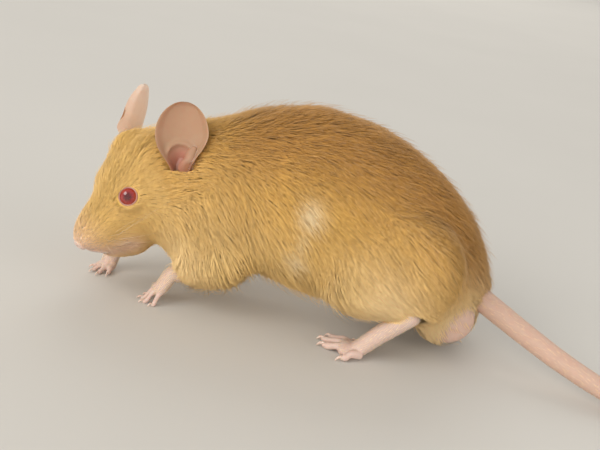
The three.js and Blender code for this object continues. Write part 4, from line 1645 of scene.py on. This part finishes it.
@dataclass
class Whiskers:
    """Whiskers in rows on both pads, swept back and a little down.

    Each is a tapering tube along a parabola: root + way x length x s + sag x s^2.
    """

    bench: Workbench
    skin: Skin
    finish: Material
    # how high each row lies, and how far behind the nose tip its whiskers stand
    rows: tuple = ((-0.9, (2.6, 3.7, 4.8, 5.9)), (-1.7, (2.3, 3.4, 4.5, 5.6, 6.7)),
                   (-2.5, (2.2, 3.3, 4.4, 5.5)), (-3.2, (2.6, 3.8, 5.0)))
    radius: float = 0.016
    seed: int = 5
    longest: dict = field(default_factory=lambda: {Side.LEFT: 17.0, Side.RIGHT: 15.5})

    def one(self, side: Side, up: float, behind: float, chance: Array) -> Shell:
        """One whisker from its root on the pad."""
        head = self.skin.body.head
        share = (behind - 2.0) / 5
        t = np.interp(behind, [0, 0.7, 2.2, 4.6, 8.2], [0, 1, 2, 3, 4])
        row = smooth(self.skin.body.table, np.array([t]))[0]
        out = row[6] * math.sqrt(max(0.1, 1 - (up / row[8]) ** 2)) - 0.3
        root = head.point(behind, side.value * out, up)
        rise = 0.25 + 0.12 * (up + 2) + 0.25 * chance[1]
        way = head.direction(0.30 - share + 0.2 * chance[0], side.value, rise)
        length = self.longest[side] * (0.42 + 0.58 * share) * (0.85 + 0.25 * chance[2])
        sag = -head.axes()[0] * (1.5 + 3.0 * share) + np.array([0, 0, -1.2 - 1.4 * chance[2]])
        s = np.linspace(0, 1, 6)[:, None]
        route = root + way * length * s + sag * s**2 * (length / 16)
        route[:, 2] = np.maximum(route[:, 2], WHISKERS_UP)
        radii = self.radius * (0.75 + 0.25 * share) * np.array([1, 0.8, 0.55, 0.28])
        return skin_over(tube(route, radii, radii, 5, 14, (1, 1), 0))

    def build(self) -> None:
        """All whiskers as one piece."""
        rng = np.random.default_rng(self.seed)
        roots = [(side, up, behind) for side in Side for up, places in self.rows for behind in places]
        made = join([self.one(*root, rng.random(3)) for root in roots])
        self.bench.piece("whiskers", made, self.finish, "coat")


# ---- finishes


def tone(red: int, green: int, blue: int) -> tuple[float, float, float, float]:
    """A colour given as it looks on a screen, 0 to 255, as the light it stands for."""
    shown = (red / 255, green / 255, blue / 255)
    return (*(c / 12.92 if c <= 0.04045 else ((c + 0.055) / 1.055) ** 2.4 for c in shown), 1.0)


class Wire:
    """A number on its way through a material's nodes, which takes part in sums and products."""

    def __init__(self, shader: "Shader", socket: Socket) -> None:
        """Holds the socket that the number comes out of."""
        self.shader, self.socket = shader, socket

    def combine(self, operation: str, *values: object) -> "Wire":
        """The Math node of an operation on some numbers."""
        node = self.shader.node("ShaderNodeMath", {"operation": operation}, dict(enumerate(values)))
        return Wire(self.shader, node.outputs[0])

    def __add__(self, other: object) -> "Wire":
        """Sum."""
        return self.combine("ADD", self, other)

    def __sub__(self, other: object) -> "Wire":
        """Difference."""
        return self.combine("SUBTRACT", self, other)

    def __rsub__(self, other: object) -> "Wire":
        """Difference, taken from a plain number."""
        return self.combine("SUBTRACT", other, self)

    def __mul__(self, other: object) -> "Wire":
        """Product."""
        return self.combine("MULTIPLY", self, other)

    __radd__, __rmul__ = __add__, __mul__

    def sine(self) -> "Wire":
        """Sine of an angle in radians."""
        return self.combine("SINE", self)

    def eased(self, low: float, high: float, start: float = 0.0, end: float = 1.0) -> "Wire":
        """From start at low to end at high, with flat ends."""
        inputs = {"Value": self, "From Min": low, "From Max": high, "To Min": start, "To Max": end}
        node = self.shader.node("ShaderNodeMapRange", {"interpolation_type": "SMOOTHSTEP"}, inputs)
        return Wire(self.shader, node.outputs["Result"])


class Shader:
    """A material being wired."""

    def __init__(self, name: str) -> None:
        """Starts from a bare Principled surface."""
        self.material = bpy.data.materials.new(name)
        self.material.use_nodes = True
        self.tree = self.material.node_tree
        self.tree.nodes.clear()
        self.surface = self.node("ShaderNodeBsdfPrincipled", {}, {})
        self.node("ShaderNodeOutputMaterial", {}, {"Surface": self.surface.outputs[0]})

    def node(self, kind: str, settings: dict, inputs: dict) -> bpy.types.Node:
        """Any node.

        Args:
            kind: The node's type.
            settings: What is set on the node itself, first.
            inputs: For each socket, by name or number, a plain value, a socket or a Wire.
        """
        node = self.tree.nodes.new(kind)
        for name, value in settings.items():
            setattr(node, name, value)
        self.fill(node, inputs)
        return node

    def fill(self, node: bpy.types.Node, inputs: dict) -> None:
        """Sets or links the sockets of a node."""
        for name, value in inputs.items():
            source = value.socket if isinstance(value, Wire) else value
            if isinstance(source, Socket):
                self.tree.links.new(source, node.inputs[name])
            else:
                node.inputs[name].default_value = source

    def attribute(self, name: str) -> Wire:
        """A number carried by the mesh's corners."""
        return Wire(self, self.node("ShaderNodeAttribute", {"attribute_name": name}, {}).outputs["Fac"])

    def noise(self, per_metre: float, detail: float = 3.0, roughness: float = 0.55) -> Wire:
        """Noise over the object, with so many lumps in a metre."""
        place = self.node("ShaderNodeTexCoord", {}, {}).outputs["Object"]
        inputs = {"Vector": place, "Scale": per_metre, "Detail": detail, "Roughness": roughness}
        return Wire(self, self.node("ShaderNodeTexNoise", {}, inputs).outputs[0])

    def mix(self, a: object, b: object, share: object) -> Socket:
        """One colour turned into another by a share."""
        node = self.node("ShaderNodeMix", {"data_type": "RGBA"}, {0: share, 6: a, 7: b})
        return node.outputs[2]

    def scaled(self, colour: object, by: object) -> Socket:
        """A colour made lighter or darker."""
        start = colour[:3] if isinstance(colour, tuple) else colour
        node = self.node("ShaderNodeVectorMath", {"operation": "SCALE"}, {0: start, "Scale": by})
        return node.outputs[0]

    def bump(self, height: Wire, distance: float, strength: float = 1.0) -> Socket:
        """A normal bent by a height, whose full range is a distance in metres."""
        inputs = {"Height": height, "Distance": distance, "Strength": strength}
        return self.node("ShaderNodeBump", {}, inputs).outputs[0]

    def finish(self, **inputs: object) -> Material:
        """Sets the surface's sockets, named with underscores, and gives the material."""
        self.fill(self.surface, {name.replace("_", " "): value for name, value in inputs.items()})
        return self.material


@dataclass(frozen=True)
class CoatColours:
    """Colours of the coat, and how its markings mix them."""

    flank: tuple = tone(201, 153, 73)
    brown: tuple = tone(160, 110, 46)
    gold: tuple = tone(215, 173, 99)
    cream: tuple = tone(232, 205, 160)
    pink: tuple = tone(219, 180, 160)
    root: tuple = tone(222, 190, 140)
    dark: tuple = tone(84, 58, 36)

    def marked(self, shader: Shader) -> Socket:
        """The coat's colour at a place, from the shares of brown, gold, cream and bare pink there."""
        colour = self.flank
        shares = {"brown": self.brown, "gold": self.gold, "cream": self.cream, "bare": self.pink}
        for name, added in shares.items():
            colour = shader.mix(colour, added, shader.attribute(name))
        return colour


@dataclass(frozen=True)
class FurFinish:
    """Hair: paler at its root, some tufts tipped dark, each a little lighter or darker than the next.

    The gain makes up for the light that is lost between the tufts.
    """

    colours: CoatColours = CoatColours()
    gain: float = 1.5

    def material(self) -> Material:
        """The coat's material."""
        shader = Shader("fawn_fur")
        along, tint, tick = (shader.attribute(name) for name in ("along", "tint", "tick"))
        colour = self.colours.marked(shader)
        colour = shader.mix(colour, self.colours.root, (1 - along) * 0.2)
        tipped = tick * (0.35 + 0.65 * shader.attribute("brown")) * along.eased(0.25, 0.9)
        colour = shader.mix(colour, self.colours.dark, tipped * 0.9)
        patchy = shader.noise(110, 2.0).eased(0.3, 0.7, 0.95, 1.05)
        colour = shader.scaled(colour, (0.92 + 0.16 * tint) * patchy * self.gain)
        return shader.finish(
            Base_Color=colour, Roughness=0.7, Specular_IOR_Level=0.15, Sheen_Weight=0.08,
            Sheen_Roughness=0.45, Sheen_Tint=(1.0, 0.9, 0.72, 1.0), Subsurface_Weight=0.2,
            Subsurface_Radius=(1.0, 0.9, 0.75), Subsurface_Scale=0.001)


@dataclass(frozen=True)
class SkinFinish:
    """Skin: coat-coloured under fur, pink and finely creased where bare, ringed on the tail, with a painted
    glow on the far ear.
    """

    colours: CoatColours = CoatColours()
    foot: tuple = tone(216, 190, 177)
    ear: tuple = tone(176, 142, 114)
    tail: tuple = tone(206, 174, 156)
    # pink of the lids and the bare scrotum; deep in the ears' funnels it is partly painted shade as well as
    # the skin's own pink
    flush: tuple = tone(178, 104, 90)
    # painted light: the colour of the glow the far ear gives off, as if lit through from behind
    backlight: tuple = tone(126, 118, 100)
    ring_mm: float = 0.44

    def material(self) -> Material:
        """The skin's material."""
        shader = Shader("mouse_skin")
        ear, tail, furred = (shader.attribute(name) for name in ("ear", "tail", "furred"))
        blood = shader.noise(900, 3.0).eased(0.35, 0.75)
        bare = shader.mix(self.foot, self.ear, ear)
        bare = shader.mix(bare, self.tail, tail)
        # redder where flushed; deep in the ear funnels this is partly painted shade of the hollow
        bare = shader.mix(bare, self.flush, shader.attribute("flush") * 0.85 + blood * 0.10)
        colour = shader.mix(bare, shader.scaled(self.colours.marked(shader), 1.2), furred)
        turn = shader.attribute("tail_mm") * (TURN / self.ring_mm) + shader.noise(700, 1.0) * 0.8
        ring = turn.sine() * 0.5 + 0.5
        groove = ring.eased(0.0, 0.35) * tail
        colour = shader.mix(colour, shader.scaled(colour, 0.95), tail - groove)
        fine = shader.noise(5200, 4.0, 0.65)
        creases = shader.noise(1700, 2.0)
        height = fine * 0.3 + creases * (1 - tail) * 0.5 + groove * 0.35
        rough = fine.eased(0.3, 0.7, 0.42, 0.58)
        # painted glow: the far ear emits light, as if the lamps shone through it from behind
        glow = shader.mix((0, 0, 0, 1), self.backlight, shader.attribute("glow"))
        return shader.finish(
            Base_Color=colour, Roughness=rough, Specular_IOR_Level=0.4, Subsurface_Weight=0.18,
            Subsurface_Radius=(1.0, 0.36, 0.22), Subsurface_Scale=0.0012, Emission_Color=glow,
            Emission_Strength=0.8, Normal=shader.bump(height, 0.00004, 0.6))


@dataclass(frozen=True)
class EyeFinish:
    """A ruby eye: nearly black in the middle, red round it with a painted glow, under a wet cornea."""

    core: tuple = tone(88, 12, 16)
    ruby: tuple = tone(146, 26, 24)
    rim: tuple = tone(92, 12, 16)
    # colour of the painted glow given off round the pupil
    glow: tuple = tone(190, 34, 28)

    def material(self) -> Material:
        """The eye's material."""
        shader = Shader("ruby_eye")
        off = shader.attribute("off_axis")
        mottle = shader.noise(2600, 2.0).eased(0.2, 0.8, -0.10, 0.10)
        colour = shader.mix(self.core, self.ruby, (off + mottle).eased(0.22, 0.62))
        colour = shader.mix(colour, self.rim, off.eased(0.95, 1.25))
        # painted glow: the ring round the pupil gives off a faint red light
        lit = (off + mottle).eased(0.25, 0.7) * (1 - off.eased(1.0, 1.3))
        glow = shader.mix((0, 0, 0, 1), self.glow, lit)
        return shader.finish(
            Base_Color=colour, Roughness=0.06, Specular_IOR_Level=0.4, Coat_Weight=1.0, Coat_IOR=1.7,
            Coat_Roughness=0.02, Emission_Color=glow, Emission_Strength=0.08)


@dataclass(frozen=True)
class HornFinish:
    """Claw and whisker: pale, smooth and a little see-through."""

    name: str
    pale: tuple
    deep: tuple
    roughness: float = 0.3

    def material(self) -> Material:
        """The horn's material."""
        shader = Shader(self.name)
        grain = shader.noise(4000, 2.0)
        colour = shader.mix(self.deep, self.pale, grain.eased(0.3, 0.7))
        return shader.finish(Base_Color=colour, Roughness=self.roughness, Subsurface_Weight=0.2,
                             Subsurface_Radius=(1.0, 0.6, 0.45), Subsurface_Scale=0.0006,
                             Normal=shader.bump(grain, 0.00002, 0.4))


@dataclass(frozen=True)
class FloorFinish:
    """A plain pale board."""

    colour: tuple = tone(207, 204, 198)

    def material(self) -> Material:
        """The floor's material."""
        shader = Shader("pale_floor")
        cloud = shader.noise(9, 3.0).eased(0.3, 0.7, 0.98, 1.0)
        colour = shader.scaled(self.colour, cloud)
        return shader.finish(Base_Color=colour, Roughness=0.75, Specular_IOR_Level=0.2)


# ---- studio


@dataclass
class Studio:
    """Floor, lights and camera, placed in millimetres in the mouse's frame."""

    bench: Workbench
    target: Point = (0.0, 0.0, 19.0)
    azimuth: float = 7.0
    elevation: float = 20.0
    bank: float = 11.0
    distance: float = 185.0
    focal_pixels: float = 925.0
    image_width: int = 600
    sensor: float = 36.0
    floor_side: float = 12000.0
    light: Point = (1.0, 0.97, 0.92)
    sky: tuple = (1.0, 0.985, 0.96, 1.0)
    sky_strength: float = 0.52

    def place(self, point: Array) -> Vector:
        """A place of the mouse's frame in Blender's."""
        return Vector((point + self.bench.shift) * METRES_PER_MM)

    def camera(self) -> None:
        """A camera that looks at the target from the left, banked as the mouse's perch slopes."""
        a, e, r = (math.radians(x) for x in (self.azimuth, self.elevation, self.bank))
        back = np.array([math.sin(a) * math.cos(e), -math.cos(a) * math.cos(e), math.sin(e)])
        level = np.array([math.cos(a), math.sin(a), 0])
        upright = np.cross(back, level)
        right = math.cos(r) * level + math.sin(r) * upright
        up = math.cos(r) * upright - math.sin(r) * level
        data = bpy.data.cameras.new("camera")
        data.sensor_width = self.sensor
        data.lens = self.sensor * self.focal_pixels / self.image_width
        data.clip_start, data.clip_end = 0.005, 20
        camera = bpy.data.objects.new("camera", data)
        turn = Matrix(np.stack([right, up, back], 1).tolist()).to_4x4()
        camera.matrix_world = Matrix.Translation(self.place(self.target + self.distance * back)) @ turn
        link(camera)
        bpy.context.scene.camera = camera

    def lamp(self, name: str, at: tuple, size: float, watts: float, mirrored: bool = False) -> None:
        """A soft square lamp that faces the mouse.

        Args:
            name, at: Its name, and its place in millimetres.
            size, watts: Its side, in metres, and its power.
            mirrored: Whether wet surfaces mirror it.
        """
        data = bpy.data.lights.new(name, "AREA")
        data.shape, data.size, data.energy, data.color = "SQUARE", size, watts, self.light
        lamp = bpy.data.objects.new(name, data)
        lamp.location = self.place(at)
        lamp.visible_glossy = mirrored
        lamp.rotation_euler = (self.place(self.target) - lamp.location).to_track_quat("-Z", "Y").to_euler()
        link(lamp)

    def floor(self) -> None:
        """A wide flat floor."""
        half = self.floor_side / 2
        points = np.array([(-half, -half, 0), (half, -half, 0), (half, half, 0), (-half, half, 0)])
        quads = np.array([(0, 1, 2, 3)])
        obj = bpy.data.objects.new("floor", self.bench.mesh("floor", Shell(points, [quads])))
        obj.data.materials.append(FloorFinish().material())
        link(obj)

    def build(self) -> None:
        """Everything round the mouse."""
        self.floor()
        self.camera()
        self.lamp("key", (-900, -900, 950), 0.9, 8.8, True)
        self.lamp("fill", (-300, -1300, 330), 1.2, 12.0)
        self.lamp("rim", (-100, 1100, 900), 1.0, 6.5)
        self.lamp("side", (1300, -500, 500), 0.9, 3.4)
        world = bpy.data.worlds.new("studio")
        world.use_nodes = True
        sky = world.node_tree.nodes["Background"].inputs
        sky["Color"].default_value, sky["Strength"].default_value = self.sky, self.sky_strength
        bpy.context.scene.world = world
        bpy.context.scene.view_settings.view_transform = "Standard"


# ---- assembly


def marked_skin(skin: Skin, markings: Markings) -> Shell:
    """The united skin with everything its material needs at each corner."""
    shell = skin.build()
    zone = shell.marks.pop("zone")
    near = lambda kind: np.clip(1 - np.abs(zone - kind.value) * 2, 0, 1)
    points = shell.points
    marks = markings.at(points)
    covered = np.clip(near(Zone.FURRED) - marks["bare"], 0, 1)
    leg_cover = np.zeros(len(points))
    for leg in LEGS.values():
        on_leg = leg.lower.distance(points, 0.4) < 0.6
        sleeve = 1.4 if leg.ends > 1 else 0.9
        haired = 1 - ease(leg.lower.share(points), sleeve - 0.1, sleeve + 0.12)
        leg_cover = np.maximum(leg_cover, on_leg * haired)
    bag_cover = near(Zone.BAG) * (1 - 0.9 * skin.scrotum.bareness(points))
    furred = np.clip(covered + near(Zone.LEG) * leg_cover + bag_cover, 0, 1)
    marks["cream"] = np.maximum(marks["cream"], 0.5 * near(Zone.BAG))
    route = smooth(skin.tail.route, np.linspace(0, len(skin.tail.route) - 1, 600))
    gone = run_along(route)
    nearest = np.argmin(np.sum(route[:, :2] ** 2, 1) - 2 * points[:, :2] @ route[:, :2].T, axis=1)
    way = unit(np.gradient(route, axis=0))[nearest]
    tail_mm = gone[nearest] + dot(points - route[nearest], way)
    flush = near(Zone.LID) * 0.7 + near(Zone.BAG) * 0.25 * (1 - bag_cover)
    # Deep in each ear's funnel the skin is made redder and darker: partly its own pink, partly painted shade
    # of the hollow.
    for ear in skin.ears:
        base, rise, _, facing = ear.frame
        deep = 1 - ease(lengths(points - base - 2.4 * rise - 0.2 * facing), 1.0, 4.2)
        hollow = near(Zone.FURRED) * ear.before(points)
        furred = furred * (1 - hollow)
        flush = np.maximum(flush, np.maximum(near(Zone.EAR), hollow) * 0.7 * deep)
    # Painted light on the far ear: it takes only a quarter of the ear's tone, so it is paler, and it carries
    # the painted glow, as if lit through from behind.
    far = points[:, 1] > 0
    shell.marks = marks | {
        "furred": furred, "ear": near(Zone.EAR) * np.where(far, 0.25, 1.0), "glow": near(Zone.EAR) * far,
        "tail": near(Zone.TAIL), "tail_mm": tail_mm, "flush": np.clip(flush, 0, 1)}
    return shell


def main() -> None:
    """Builds the mouse over its frame."""
    logging.basicConfig(level=logging.INFO, format="%(message)s")
    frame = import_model()
    body = Body()
    bench = Workbench(np.mean(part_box("left_eye"), axis=0) / METRES_PER_MM - body.eyes[0].centre)
    markings = Markings(body)
    skin = Skin(bench, body)
    obj = bench.piece("skin", marked_skin(skin, markings), SkinFinish().material(), "skin")
    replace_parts(obj, *(name for name in frame["nodes"] if not name.endswith("_eye")))
    Eyes(bench, body, EyeFinish().material()).build()
    claw_horn = HornFinish("claw_horn", tone(238, 218, 205), tone(214, 178, 160))
    Claws(bench, claw_horn.material()).build()
    whisker_horn = HornFinish("whisker_horn", tone(240, 232, 216), tone(222, 208, 184))
    Whiskers(bench, skin, whisker_horn.material()).build()
    Coat(bench, skin, markings, FurFinish().material()).build()
    Studio(bench).build()


if __name__ == "__main__":
    main()
